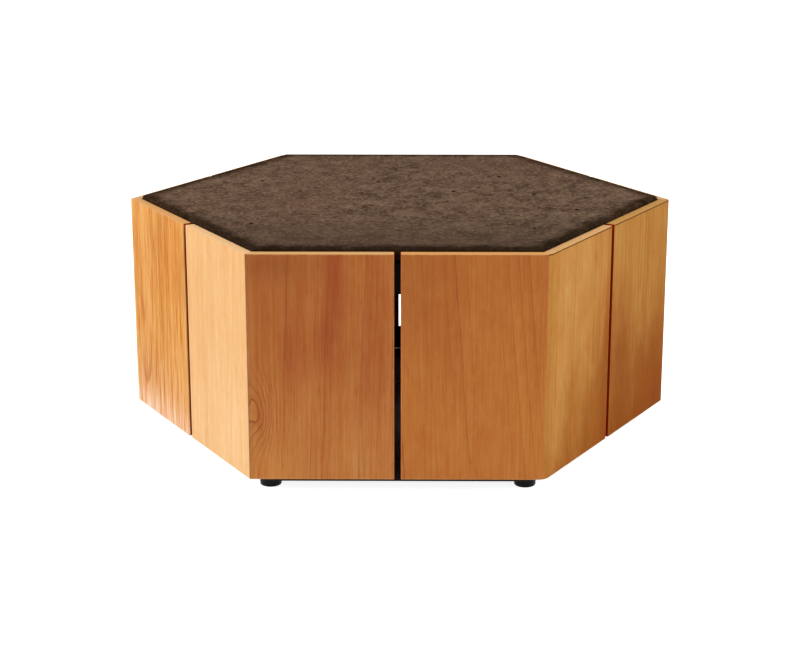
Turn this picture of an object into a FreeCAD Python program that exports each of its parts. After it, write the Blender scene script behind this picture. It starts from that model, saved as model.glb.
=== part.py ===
"""Hexagonal patio side table.

A cast slab lies loose inside a hexagonal ring of upright wooden boards, two to a side. The boards are screwed
from inside to a frame of folded steel angles on three levels, which stands on six levelling feet.

Lengths are in millimetres. The origin is on the floor under the middle of the table, +Z is up, the front side
faces -Y and two of the corners lie on the X axis. Pieces are drawn once, on the front side or at a corner that
points to the front, and are turned about Z to their places.
"""
import FreeCAD
import Part
import math
import os

# Wooden ring
across_corners = 940.0
board_height = 369.0
board_thickness = 16.0
board_gap = 10.0
board_arris = 1.2
corner_rounding = 3.0
soft_corner_rounding = 20.0
soft_corner = "front_right"

# Slab and the bumpers it lies on
slab_thickness = 20.0
slab_proud = 5.5
slab_joint = 1.0
slab_corner_radius = 10.0
slab_arris = 3.5
bumper_thickness = 2.5
bumper_radius = 8.0
bumper_from_middle = 130.0

# Folded frame
sheet = 3.0
bend_inside = 2.0
top_rail_leg = 51.0
top_rail_flange = 35.0
mid_rail_leg = 40.0
mid_rail_flange = 50.0
mid_rail_below_rim = 170.0
bottom_rail_leg = 37.0
bottom_rail_flange = 30.0
bottom_flange_crop = 12.0
frame_below_boards = 10.0
floor_clearance = 16.5
post_leg = 35.0
notch_clearance = 1.0

# Slab bearers
bearer_width = 20.0
bearer_height = 30.0
bearer_wall = 2.0
bearer_spacing = 220.0
bearer_bumper_spacing = 300.0
bearer_end_gap = 0.5

# Board screws
drill_overlap = 1.0
screw_radius = 2.25
screw_head_radius = 4.5
screw_head_height = 2.8
screw_in_board = 11.0
screw_clearance = 0.1
rail_hole_clearance = 0.5
screw_from_gap = 40.0
screw_from_corner = 70.0
screw_above_board_bottom = 12.0

# Levelling feet
foot_radius = 17.5
foot_edge = 3.0
foot_lip = 1.0
foot_floor = 5.0
foot_frame_gap = 1.0
foot_from_corner = 37.0
foot_travel = 12.0
stem_radius = 5.0
stem_collar_radius = 8.0
stem_collar_height = 3.4
stem_spare = 2.0
stem_key_across = 5.0
stem_key_depth = 4.0
thread_clearance = 0.05
socket_clearance = 0.3
plate_thickness = 4.0
plate_half_width = 55.0
plate_inside_foot = 22.0
plate_hole_clearance = 0.5
nut_across = 17.0
nut_height = 8.0

# Sizes that follow from the ones above
half_turn = math.radians(30.0)
board_outer = across_corners / 2.0 * math.cos(half_turn)
board_inner = board_outer - board_thickness
leg_inner = board_inner - sheet
bend_outside = bend_inside + sheet
slab_apothem = board_inner - slab_joint

board_bottom = floor_clearance + frame_below_boards
rim = board_bottom + board_height
slab_underside = rim + slab_proud - slab_thickness
top_rail_top = slab_underside - bumper_thickness
top_rail_bottom = top_rail_top - top_rail_leg
mid_rail_top = rim - mid_rail_below_rim
bottom_rail_bottom = floor_clearance
bottom_flange_top = bottom_rail_bottom + sheet
plate_top = bottom_flange_top + plate_thickness
nut_top = plate_top + nut_height

top_screw_level = (top_rail_top + top_rail_bottom) / 2.0
bottom_screw_level = board_bottom + screw_above_board_bottom
screw_near_gap = board_gap / 2.0 + screw_from_gap
screw_near_corner = board_outer * math.tan(half_turn) - screw_from_corner

foot_out = leg_inner / math.cos(half_turn) - foot_from_corner
pad_top = floor_clearance - foot_frame_gap
collar_top = foot_floor + stem_collar_height
stem_top = nut_top + foot_travel + stem_spare

SIDES = ("front", "right_front", "right_rear", "rear", "left_rear", "left_front")
CORNERS = ("front_right", "right", "rear_right", "rear_left", "left", "front_left")
HANDS = ("left", "right")
UP = FreeCAD.Vector(0, 0, 1)
ORIGIN = FreeCAD.Vector(0, 0, 0)


def point(along, out, level=0.0):
    """Point on the front side: distance along it from its middle, distance out from the axis, and level."""
    return FreeCAD.Vector(along, -out, level)


def outline(*points):
    """Closed flat face through the given points."""
    return Part.Face(Part.makePolygon(list(points) + [points[0]]))


def rise(height):
    """Upward vector of the given length."""
    return FreeCAD.Vector(0, 0, height)


def toward(hand):
    """Direction of a hand along the front side, seen from outside."""
    return 1 if hand == "right" else -1


def on_side(shape, number):
    """Copy of a piece of the front side, turned to side number."""
    placed = shape.copy()
    placed.rotate(ORIGIN, UP, 60.0 * number)
    return placed


def at_corner(shape, number):
    """Copy of a piece drawn at a corner that points to the front, turned to corner number."""
    placed = shape.copy()
    placed.rotate(ORIGIN, UP, 60.0 * number + 30.0)
    return placed


def hexagon(apothem, bottom, top):
    """Upright hexagonal prism with its front side parallel to X."""
    radius = apothem / math.cos(half_turn)
    corners = []
    for number in range(6):
        angle = math.radians(60.0 * number)
        corners.append(FreeCAD.Vector(radius * math.cos(angle), radius * math.sin(angle), bottom))
    return outline(*corners).extrude(rise(top - bottom))


def sector():
    """Wedge between the two mitre planes of the front side, taller and deeper than the table."""
    reach = across_corners
    wide = reach * math.tan(half_turn)
    wedge = outline(point(0, 0), point(wide, reach), point(-wide, reach))
    return wedge.extrude(rise(2.0 * (rim + slab_proud)))


def hex_prism(across, bottom, height):
    """Upright hexagonal prism on the Z axis, by its width across flats."""
    return hexagon(across / 2.0, bottom, bottom + height)


def screw_places(level):
    """Screw centres on the front side at one level, as (distance along, level)."""
    places = []
    for hand in HANDS:
        for along in (screw_near_gap, screw_near_corner):
            places.append((toward(hand) * along, level))
    return places


def outward_pin(radius, start, end, along, level):
    """Cylinder that points out of the front side between two distances from the axis."""
    return Part.makeCylinder(radius, end - start, point(along, start, level), point(0, 1))


def make_board(hand, rounding):
    """One board of the front side, from the gap to the mitre, with half of the rounded corner."""
    way = toward(hand)
    gap_edge = way * board_gap / 2.0
    tangent = board_outer * math.tan(half_turn) - rounding * math.tan(half_turn)
    inner_corner = board_inner * math.tan(half_turn)
    centre_out = board_outer - rounding

    def on_rounding(angle):
        return point(way * (tangent + rounding * math.sin(angle)), centre_out + rounding * math.cos(angle))

    start = point(gap_edge, board_outer)
    straight_end = on_rounding(0.0)
    mitre_outer = on_rounding(half_turn)
    mitre_inner = point(way * inner_corner, board_inner)
    back = point(gap_edge, board_inner)
    edges = [
        Part.LineSegment(start, straight_end).toShape(),
        Part.Arc(straight_end, on_rounding(half_turn / 2.0), mitre_outer).toShape(),
        Part.LineSegment(mitre_outer, mitre_inner).toShape(),
        Part.LineSegment(mitre_inner, back).toShape(),
        Part.LineSegment(back, start).toShape(),
    ]
    face = Part.Face(Part.Wire(edges))
    face.translate(rise(board_bottom))
    board = face.extrude(rise(board_height))
    board = board.makeFillet(board_arris, board_arrises(board, gap_edge))
    for level in (top_screw_level, bottom_screw_level):
        for along, height in screw_places(level):
            if along * way > 0:
                hole_end = board_inner + screw_in_board + screw_clearance
                hole_start = board_inner - drill_overlap
                pilot = outward_pin(screw_radius + screw_clearance, hole_start, hole_end, along, height)
                board = board.cut(pilot)
    return board


def board_arrises(board, gap_edge):
    """Edges of a board that are eased: all around its front and back faces except at the mitre."""
    chosen = []
    for edge in board.Edges:
        middle = edge.valueAt((edge.FirstParameter + edge.LastParameter) / 2.0)
        level_edge = abs(middle.z - board_bottom) < 0.01 or abs(middle.z - rim) < 0.01
        at_gap = abs(middle.x - gap_edge) < 0.01
        on_mitre = abs(abs(middle.x) + middle.y * math.tan(half_turn)) < 0.01
        if (level_edge or at_gap) and not on_mitre:
            chosen.append(edge)
    return chosen


def make_slab():
    """Cast slab with rounded corners and an eased upper edge."""
    slab = hexagon(slab_apothem, slab_underside, rim + slab_proud)
    upright = [edge for edge in slab.Edges if abs(edge.tangentAt(edge.FirstParameter).z) > 0.9]
    slab = slab.makeFillet(slab_corner_radius, upright)
    upper = [edge for edge in slab.Edges if edge.BoundBox.ZMin > rim + slab_proud - 0.01]
    return slab.makeFillet(slab_arris, upper)


def angle_profile(leg, flange, edge_level, leg_direction):
    """Section of a folded angle: the flange lies at edge_level and the leg runs from it along leg_direction."""
    def at(out, drop):
        return point(0, board_inner - out, edge_level + leg_direction * drop)

    corner = math.cos(math.radians(45.0))
    outside_mid = bend_outside * (1.0 - corner)
    inside_mid = bend_outside - bend_inside * corner
    edges = [
        Part.LineSegment(at(0, leg), at(0, bend_outside)).toShape(),
        Part.Arc(at(0, bend_outside), at(outside_mid, outside_mid), at(bend_outside, 0)).toShape(),
        Part.LineSegment(at(bend_outside, 0), at(flange, 0)).toShape(),
        Part.LineSegment(at(flange, 0), at(flange, sheet)).toShape(),
        Part.LineSegment(at(flange, sheet), at(bend_outside, sheet)).toShape(),
        Part.Arc(at(bend_outside, sheet), at(inside_mid, inside_mid), at(sheet, bend_outside)).toShape(),
        Part.LineSegment(at(sheet, bend_outside), at(sheet, leg)).toShape(),
        Part.LineSegment(at(sheet, leg), at(0, leg)).toShape(),
    ]
    return Part.Face(Part.Wire(edges))


def make_rail(leg, flange, edge_level, leg_direction, screw_level=None):
    """Rail of the front side with mitred ends, drilled for the board screws where it has a screw level."""
    profile = angle_profile(leg, flange, edge_level, leg_direction)
    profile.translate(point(-across_corners / 2.0, 0))
    rail = profile.extrude(point(across_corners, 0)).common(sector())
    if screw_level is not None:
        for along, level in screw_places(screw_level):
            radius = screw_radius + rail_hole_clearance
            start = leg_inner - drill_overlap
            rail = rail.cut(outward_pin(radius, start, board_inner + drill_overlap, along, level))
    return rail.Solids[0]


def cut_ends(rail, reach, out, bottom, height):
    """Rail with both ends cut away beyond a distance along it, inside a distance out, over a height."""
    for hand in HANDS:
        near = toward(hand) * reach
        far = toward(hand) * across_corners
        waste = outline(
            point(near, 0, bottom),
            point(far, 0, bottom),
            point(far, out, bottom),
            point(near, out, bottom),
        )
        rail = rail.cut(waste.extrude(rise(height)))
    return rail.Solids[0]


def make_mid_rail():
    """Middle rail, its flange notched at both ends so that the corner posts pass."""
    rail = make_rail(mid_rail_leg, mid_rail_flange, mid_rail_top, -1.0)
    post_edge = leg_inner * math.tan(half_turn) - post_leg - notch_clearance
    return cut_ends(rail, post_edge, leg_inner, mid_rail_top - mid_rail_leg, mid_rail_leg)


def make_bottom_rail():
    """Bottom rail, its flange and bend cropped at both ends so that they stay hidden beside the feet."""
    rail = make_rail(bottom_rail_leg, bottom_rail_flange, bottom_rail_bottom, 1.0, bottom_screw_level)
    crop_edge = leg_inner * math.tan(half_turn) - bottom_flange_crop
    return cut_ends(rail, crop_edge, board_outer, bottom_rail_bottom, bend_outside)


def make_post():
    """Corner post folded to the angle of the ring, standing on the foot plate behind the rails."""
    bottom = plate_top
    top = top_rail_top - bend_outside
    vertex_out = leg_inner / math.cos(half_turn)
    inner_out = (leg_inner - sheet) / math.cos(half_turn)
    along = post_leg * math.cos(half_turn)
    back = post_leg * math.sin(half_turn)
    inner_along = along - sheet * math.sin(half_turn)
    inner_back = back + sheet * math.cos(half_turn)
    face = outline(
        point(0, vertex_out, bottom),
        point(along, vertex_out - back, bottom),
        point(inner_along, vertex_out - inner_back, bottom),
        point(0, inner_out, bottom),
        point(-inner_along, vertex_out - inner_back, bottom),
        point(-along, vertex_out - back, bottom),
    )
    post = face.extrude(rise(top - bottom))
    post = post.makeFillet(bend_outside, [upright_edge(post, point(0, vertex_out))])
    return post.makeFillet(bend_inside, [upright_edge(post, point(0, inner_out))])


def upright_edge(shape, place):
    """The upright edge of a shape that stands over the given point of the floor plan."""
    def distance(edge):
        foot = edge.CenterOfMass
        return math.hypot(foot.x - place.x, foot.y - place.y)

    upright = [edge for edge in shape.Edges if abs(edge.tangentAt(edge.FirstParameter).z) > 0.9]
    return min(upright, key=distance)


def make_bearer(hand):
    """Tube under the slab, from the front top rail to the rear one, below their flanges."""
    half_length = leg_inner - bend_inside - bearer_end_gap
    top = top_rail_top - sheet
    middle = toward(hand) * bearer_spacing / 2.0
    corner = FreeCAD.Vector(middle - bearer_width / 2.0, -half_length, top - bearer_height)
    tube = Part.makeBox(bearer_width, 2.0 * half_length, bearer_height, corner)
    hollow_corner = corner + FreeCAD.Vector(bearer_wall, 0, bearer_wall)
    hollow_width = bearer_width - 2.0 * bearer_wall
    hollow_height = bearer_height - 2.0 * bearer_wall
    return tube.cut(Part.makeBox(hollow_width, 2.0 * half_length, hollow_height, hollow_corner))


def make_bumpers():
    """Rubber discs under the slab: two on each top rail and two on each bearer."""
    discs = []
    middle_of_flange = board_inner - bend_outside - (top_rail_flange - bend_outside) / 2.0
    for number in range(6):
        for hand in HANDS:
            base = point(toward(hand) * bumper_from_middle, middle_of_flange, top_rail_top)
            disc = Part.makeCylinder(bumper_radius, bumper_thickness, base)
            discs.append(on_side(disc, number))
    for hand in HANDS:
        for end in HANDS:
            along = toward(hand) * bearer_spacing / 2.0
            out = toward(end) * bearer_bumper_spacing / 2.0
            base = point(along, out, top_rail_top - sheet)
            discs.append(Part.makeCylinder(bumper_radius, bumper_thickness + sheet, base))
    return Part.Compound(discs)


def make_screws(level):
    """Pan-head screws at one level all around, their heads on the inner faces of the rails."""
    tip = board_inner + screw_in_board
    screws = []
    for number in range(6):
        for along, height in screw_places(level):
            head = outward_pin(screw_head_radius, leg_inner - screw_head_height, leg_inner, along, height)
            shank = outward_pin(screw_radius, leg_inner, tip, along, height)
            screws.append(on_side(head.fuse(shank), number))
    return Part.Compound(screws)


def make_foot_plate():
    """Plate that bridges the bottom flanges at a corner and carries the weld nut."""
    edge_out = (leg_inner - bend_inside) / math.cos(half_turn)
    back = plate_half_width * math.tan(half_turn)
    inside = foot_out - plate_inside_foot
    face = outline(
        point(0, edge_out, bottom_flange_top),
        point(plate_half_width, edge_out - back, bottom_flange_top),
        point(plate_half_width, inside, bottom_flange_top),
        point(-plate_half_width, inside, bottom_flange_top),
        point(-plate_half_width, edge_out - back, bottom_flange_top),
    )
    plate = face.extrude(rise(plate_thickness))
    hole_base = point(0, foot_out, bottom_flange_top)
    return plate.cut(Part.makeCylinder(stem_radius + plate_hole_clearance, plate_thickness, hole_base))


def make_nut():
    """Weld nut on top of a foot plate."""
    nut = hex_prism(nut_across, plate_top, nut_height)
    bore = Part.makeCylinder(stem_radius + thread_clearance, nut_height, rise(plate_top))
    nut = nut.cut(bore)
    nut.translate(point(0, foot_out))
    return nut


def make_stem():
    """Threaded stem with a collar held in the pad and a key socket in its upper end."""
    collar = Part.makeCylinder(stem_collar_radius, stem_collar_height, rise(foot_floor))
    shank = Part.makeCylinder(stem_radius, stem_top - collar_top, rise(collar_top))
    stem = collar.fuse(shank).removeSplitter()
    stem = stem.cut(hex_prism(stem_key_across, stem_top - stem_key_depth, stem_key_depth))
    stem.translate(point(0, foot_out))
    return stem


def make_pad():
    """Round pad with a rounded lower edge and a socket for the collar of the stem."""
    pad = Part.makeCylinder(foot_radius, pad_top)
    lower = [edge for edge in pad.Edges if edge.BoundBox.ZMax < 0.01]
    pad = pad.makeFillet(foot_edge, lower)
    upper = [edge for edge in pad.Edges if edge.BoundBox.ZMin > pad_top - 0.01]
    pad = pad.makeFillet(foot_lip, upper)
    socket_height = stem_collar_height + socket_clearance
    socket = Part.makeCylinder(stem_collar_radius + socket_clearance, socket_height, rise(foot_floor))
    throat = Part.makeCylinder(stem_radius + socket_clearance, pad_top, rise(foot_floor))
    pad = pad.cut(socket.fuse(throat))
    pad.translate(point(0, foot_out))
    return pad


def rounding_at(corner):
    """Outer rounding of the named corner of the wooden ring."""
    return soft_corner_rounding if corner == soft_corner else corner_rounding


def build():
    """Make every node of the table, by name."""
    top_rail = make_rail(top_rail_leg, top_rail_flange, top_rail_top, -1.0, top_screw_level)
    mid_rail = make_mid_rail()
    bottom_rail = make_bottom_rail()
    post = make_post()
    pad = make_pad()
    stem = make_stem()
    nodes = {"top_slab": make_slab()}
    for number, side in enumerate(SIDES):
        corners = {"left": CORNERS[number - 1], "right": CORNERS[number]}
        for hand in HANDS:
            board = make_board(hand, rounding_at(corners[hand]))
            nodes[side + "_board_" + hand] = on_side(board, number)
        nodes[side + "_top_rail"] = on_side(top_rail, number)
        nodes[side + "_mid_rail"] = on_side(mid_rail, number)
        nodes[side + "_bottom_rail"] = on_side(bottom_rail, number)
    for number, corner in enumerate(CORNERS):
        nodes[corner + "_corner_post"] = at_corner(post, number)
        nodes[corner + "_foot_pad"] = at_corner(pad, number)
        nodes[corner + "_foot_stem"] = at_corner(stem, number)
    for hand in HANDS:
        nodes[hand + "_slab_bearer"] = make_bearer(hand)
    nodes["slab_bumpers"] = make_bumpers()
    nodes["top_rail_screws"] = make_screws(top_screw_level)
    nodes["bottom_rail_screws"] = make_screws(bottom_screw_level)
    nodes["foot_plates"] = Part.Compound([at_corner(make_foot_plate(), number) for number in range(6)])
    nodes["foot_nuts"] = Part.Compound([at_corner(make_nut(), number) for number in range(6)])
    return nodes


os.makedirs("parts", exist_ok=True)
for node_name, node_shape in build().items():
    node_shape.exportStep("parts/" + node_name + ".step")
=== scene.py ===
"""Looks of a low hexagonal side table.

A cast slab lies in a ring of upright oiled boards, which are screwed to a black folded frame on levelling
feet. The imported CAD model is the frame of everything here: lengths are in metres, +Z is up and the front
faces -Y.
"""
import logging
import math
import random
from dataclasses import dataclass
from enum import Enum
from typing import Any

import bmesh
import bpy
from mathutils import Matrix, Vector, noise


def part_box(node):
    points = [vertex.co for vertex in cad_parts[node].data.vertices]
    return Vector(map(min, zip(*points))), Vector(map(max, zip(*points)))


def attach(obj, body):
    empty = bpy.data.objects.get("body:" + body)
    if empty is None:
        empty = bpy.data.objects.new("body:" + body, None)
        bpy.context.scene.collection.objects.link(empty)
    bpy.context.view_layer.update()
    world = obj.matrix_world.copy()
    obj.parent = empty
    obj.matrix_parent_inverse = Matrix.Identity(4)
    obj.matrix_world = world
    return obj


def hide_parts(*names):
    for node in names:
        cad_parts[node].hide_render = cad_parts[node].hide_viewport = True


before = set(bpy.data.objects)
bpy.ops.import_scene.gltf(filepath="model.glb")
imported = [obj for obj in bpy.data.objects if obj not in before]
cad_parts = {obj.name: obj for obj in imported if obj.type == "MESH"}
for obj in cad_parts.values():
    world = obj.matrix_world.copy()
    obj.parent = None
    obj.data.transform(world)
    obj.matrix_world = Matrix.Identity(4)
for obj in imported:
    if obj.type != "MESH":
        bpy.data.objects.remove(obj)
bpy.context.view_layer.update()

LOG = logging.getLogger("side_table")
MM = 0.001
SIXTH = math.radians(60.0)
HALF_SIXTH = math.radians(30.0)
FULL_TURN = 2.0 * math.pi
SAME_PLACE = 1e-6
NOISE_MEAN = 0.5

Colour = tuple[float, float, float]
Triple = tuple[float, float, float]
Pair = tuple[float, float]
Socket = bpy.types.NodeSocket


class CadName(Enum):
    """A choice that is spelt out in the names of CAD nodes."""

    @property
    def label(self) -> str:
        """The choice as the nodes spell it."""
        return self.name.lower()


class Side(CadName):
    """The six sides, numbered as they follow each other round the axis."""

    FRONT = 0
    RIGHT_FRONT = 1
    RIGHT_REAR = 2
    REAR = 3
    LEFT_REAR = 4
    LEFT_FRONT = 5


class Corner(CadName):
    """The six corners; each follows the side of the same number."""

    FRONT_RIGHT = 0
    RIGHT = 1
    REAR_RIGHT = 2
    REAR_LEFT = 3
    LEFT = 4
    FRONT_LEFT = 5

    @property
    def turn(self) -> Matrix:
        """Rotation that brings a corner drawn pointing to the front to its place."""
        return Matrix.Rotation(SIXTH * self.value + HALF_SIXTH, 4, "Z")


class Level(CadName):
    """The three levels of rails."""

    TOP = 0
    MID = 1
    BOTTOM = 2


class Hand(CadName):
    """Which end of a side, seen from outside; the value is its direction along the side."""

    LEFT = -1
    RIGHT = 1


@dataclass(frozen=True)
class Cloud:
    """A noise: its cycles per metre along each axis, its number of finer layers and their strength."""

    stretch: Any
    detail: float = 2.0
    roughness: float = 0.5


@dataclass(frozen=True)
class Tone:
    """A colour that is laid over another, up to a share, as a number goes through a span."""

    colour: Colour
    span: Pair
    share: float


class Wiring:
    """Adds nodes to one shader tree and joins their sockets."""

    MIX_FIRST = 6
    MIX_SECOND = 7
    MIX_RESULT = 2

    def __init__(self, tree: bpy.types.NodeTree) -> None:
        """Work on the given tree."""
        self.tree = tree

    def feed(self, socket: Socket, value: Any) -> None:
        """Link a socket to another one, or set its value.

        Args:
            socket: The input to fill.
            value: An output socket, a number, or a tuple; a colour of three parts becomes opaque.
        """
        if isinstance(value, bpy.types.NodeSocket):
            self.tree.links.new(value, socket)
        elif socket.type == "RGBA" and len(value) == 3:
            socket.default_value = (*value, 1.0)
        else:
            socket.default_value = value

    def fill(self, node: bpy.types.Node, inputs: dict[Any, Any]) -> None:
        """Feed several inputs of a node, by name or number."""
        for name, value in inputs.items():
            self.feed(node.inputs[name], value)

    def add(self, kind: str, inputs: dict[Any, Any] | None = None, **settings: Any) -> bpy.types.Node:
        """Add a node.

        Args:
            kind: Blender's type name of the node.
            inputs: Values or sockets for its inputs, by name or number.
            settings: Properties of the node itself.

        Returns:
            The new node.
        """
        node = self.tree.nodes.new(kind)
        for name, value in settings.items():
            setattr(node, name, value)
        self.fill(node, inputs or {})
        return node

    def place(self) -> Socket:
        """Place on the piece, which is also its place in the shared frame at rest."""
        return self.add("ShaderNodeTexCoord").outputs["Object"]

    def calc(self, operation: str, *values: Any, clamp: bool = False) -> Socket:
        """Work out a number from up to three others."""
        node = self.add("ShaderNodeMath", dict(enumerate(values)), operation=operation, use_clamp=clamp)
        return node.outputs[0]

    def plus(self, first: Any, second: Any, clamp: bool = False) -> Socket:
        """Sum of two numbers."""
        return self.calc("ADD", first, second, clamp=clamp)

    def minus(self, first: Any, second: Any, clamp: bool = False) -> Socket:
        """Difference of two numbers."""
        return self.calc("SUBTRACT", first, second, clamp=clamp)

    def times(self, first: Any, second: Any, clamp: bool = False) -> Socket:
        """Product of two numbers."""
        return self.calc("MULTIPLY", first, second, clamp=clamp)

    def over(self, first: Any, second: Any) -> Socket:
        """Quotient of two numbers."""
        return self.calc("DIVIDE", first, second)

    def centred(self, value: Socket, amount: Any) -> Socket:
        """Centre a noise on zero and give it a strength."""
        return self.times(self.minus(value, NOISE_MEAN), amount)

    def bell(self, value: Socket) -> Socket:
        """Bell curve: 1 where a number is zero, falling to nothing at about 2."""
        return self.calc("EXPONENT", self.times(self.times(value, value), -1.0))

    def step(self, value: Any, low: Any, high: Any, start: float = 0.0, end: float = 1.0) -> Socket:
        """Smooth step of a number from start to end while it goes from low to high."""
        inputs = {"Value": value, "From Min": low, "From Max": high, "To Min": start, "To Max": end}
        return self.add("ShaderNodeMapRange", inputs, interpolation_type="SMOOTHSTEP").outputs[0]

    def vector(self, operation: str, *values: Any) -> Socket:
        """Work out a vector from one or two others."""
        node = self.add("ShaderNodeVectorMath", dict(enumerate(values)), operation=operation)
        return node.outputs["Vector"]

    def scaled(self, vector: Any, factor: Any) -> Socket:
        """Multiply a vector by a number."""
        node = self.add("ShaderNodeVectorMath", {0: vector, "Scale": factor}, operation="SCALE")
        return node.outputs["Vector"]

    def length(self, vector: Socket) -> Socket:
        """Length of a vector."""
        return self.add("ShaderNodeVectorMath", {0: vector}, operation="LENGTH").outputs["Value"]

    def parts(self, vector: Socket) -> tuple[Socket, Socket, Socket]:
        """Split a vector into its three numbers."""
        node = self.add("ShaderNodeSeparateXYZ", {0: vector})
        return node.outputs[0], node.outputs[1], node.outputs[2]

    def apothem(self, place: Socket) -> Socket:
        """Measure the hexagon round the Z axis, flat to the front, on whose border a place lies.

        Args:
            place: The place.

        Returns:
            The hexagon's apothem.
        """
        along, out, _ = self.parts(place)
        far = self.calc("ABSOLUTE", out)
        for turn in (HALF_SIXTH, -HALF_SIXTH):
            slanted = self.calc("MULTIPLY_ADD", out, math.sin(turn), self.times(along, math.cos(turn)))
            far = self.calc("MAXIMUM", far, self.calc("ABSOLUTE", slanted))
        return far

    def texture(self, vector: Socket, style: Cloud) -> bpy.types.Node:
        """Add a noise over a stretched vector.

        Args:
            vector: Place on the piece.
            style: The noise.

        Returns:
            The noise node, with its Fac and Color outputs.
        """
        place = self.vector("MULTIPLY", vector, style.stretch)
        inputs = {"Vector": place, "Scale": 1.0, "Detail": style.detail, "Roughness": style.roughness}
        return self.add("ShaderNodeTexNoise", inputs)

    def cloud(self, vector: Socket, style: Cloud) -> Socket:
        """Noise as a number, about 0.5 in the mean."""
        return self.texture(vector, style).outputs["Fac"]

    def push(self, vector: Socket, style: Cloud, amount: Any) -> Socket:
        """Noise as a vector, about zero in the mean."""
        around = self.vector("SUBTRACT", self.texture(vector, style).outputs["Color"], (NOISE_MEAN,) * 3)
        return self.scaled(around, amount)

    def mix(self, factor: Any, first: Any, second: Any, blend: str = "MIX") -> Socket:
        """Blend two colours.

        Args:
            factor: Share of the second colour.
            first: Colour or socket that is blended onto.
            second: Colour or socket that is blended in.
            blend: Blender's name of the blend.

        Returns:
            The blended colour.
        """
        inputs = {"Factor": factor, self.MIX_FIRST: first, self.MIX_SECOND: second}
        node = self.add("ShaderNodeMix", inputs, data_type="RGBA", blend_type=blend)
        return node.outputs[self.MIX_RESULT]

    def lay(self, colour: Any, value: Socket, tone: Tone) -> Socket:
        """Lay a tone over a colour as a number asks for it."""
        return self.mix(self.step(value, *tone.span, 0.0, tone.share), colour, tone.colour)

    def bump(self, shader: bpy.types.Node, height: Socket, strength: float, distance: float) -> None:
        """Let a height stand out of a shader's surface."""
        inputs = {"Strength": strength, "Distance": distance, "Height": height}
        self.feed(shader.inputs["Normal"], self.add("ShaderNodeBump", inputs).outputs[0])

    def seen(self) -> Socket:
        """Mark what the camera sees, directly, in gloss or through glass.

        Returns:
            The mask: 1 for such a ray, 0 for light that falls on other things.
        """
        path = self.add("ShaderNodeLightPath").outputs
        direct = self.plus(path["Is Camera Ray"], path["Is Glossy Ray"])
        return self.plus(direct, path["Is Transmission Ray"], clamp=True)


def start_material(name: str) -> tuple[bpy.types.Material, Wiring, bpy.types.Node]:
    """Begin a material.

    Args:
        name: Name of the material.

    Returns:
        The material, its wiring and its Principled shader.
    """
    material = bpy.data.materials.new(name)
    material.use_nodes = True
    material.node_tree.nodes.clear()
    wires = Wiring(material.node_tree)
    shader = wires.add("ShaderNodeBsdfPrincipled")
    wires.add("ShaderNodeOutputMaterial", {"Surface": shader.outputs[0]})
    return material, wires, shader


def start_group(name: str, outputs: dict[str, str],
                **inputs: tuple[str, ...]) -> tuple[Wiring, Any, bpy.types.Node]:
    """Begin a shader group.

    Args:
        name: Name of the group.
        outputs: Socket types by output name, without the NodeSocket prefix.
        inputs: Input names by socket type.

    Returns:
        The group's wiring, its inputs by name, and its output node.
    """
    tree = bpy.data.node_groups.new(name, "ShaderNodeTree")
    sockets = [(label, "INPUT", kind) for kind, labels in inputs.items() for label in labels]
    sockets += [(label, "OUTPUT", kind) for label, kind in outputs.items()]
    for label, way, kind in sockets:
        tree.interface.new_socket(name=label, in_out=way, socket_type="NodeSocket" + kind)
    wires = Wiring(tree)
    return wires, wires.add("NodeGroupInput").outputs, wires.add("NodeGroupOutput")


class Effect:
    """A look that several materials share as one shader group."""

    def build(self) -> bpy.types.NodeTree:
        """Build the group; each effect has its own way."""
        raise NotImplementedError


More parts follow.
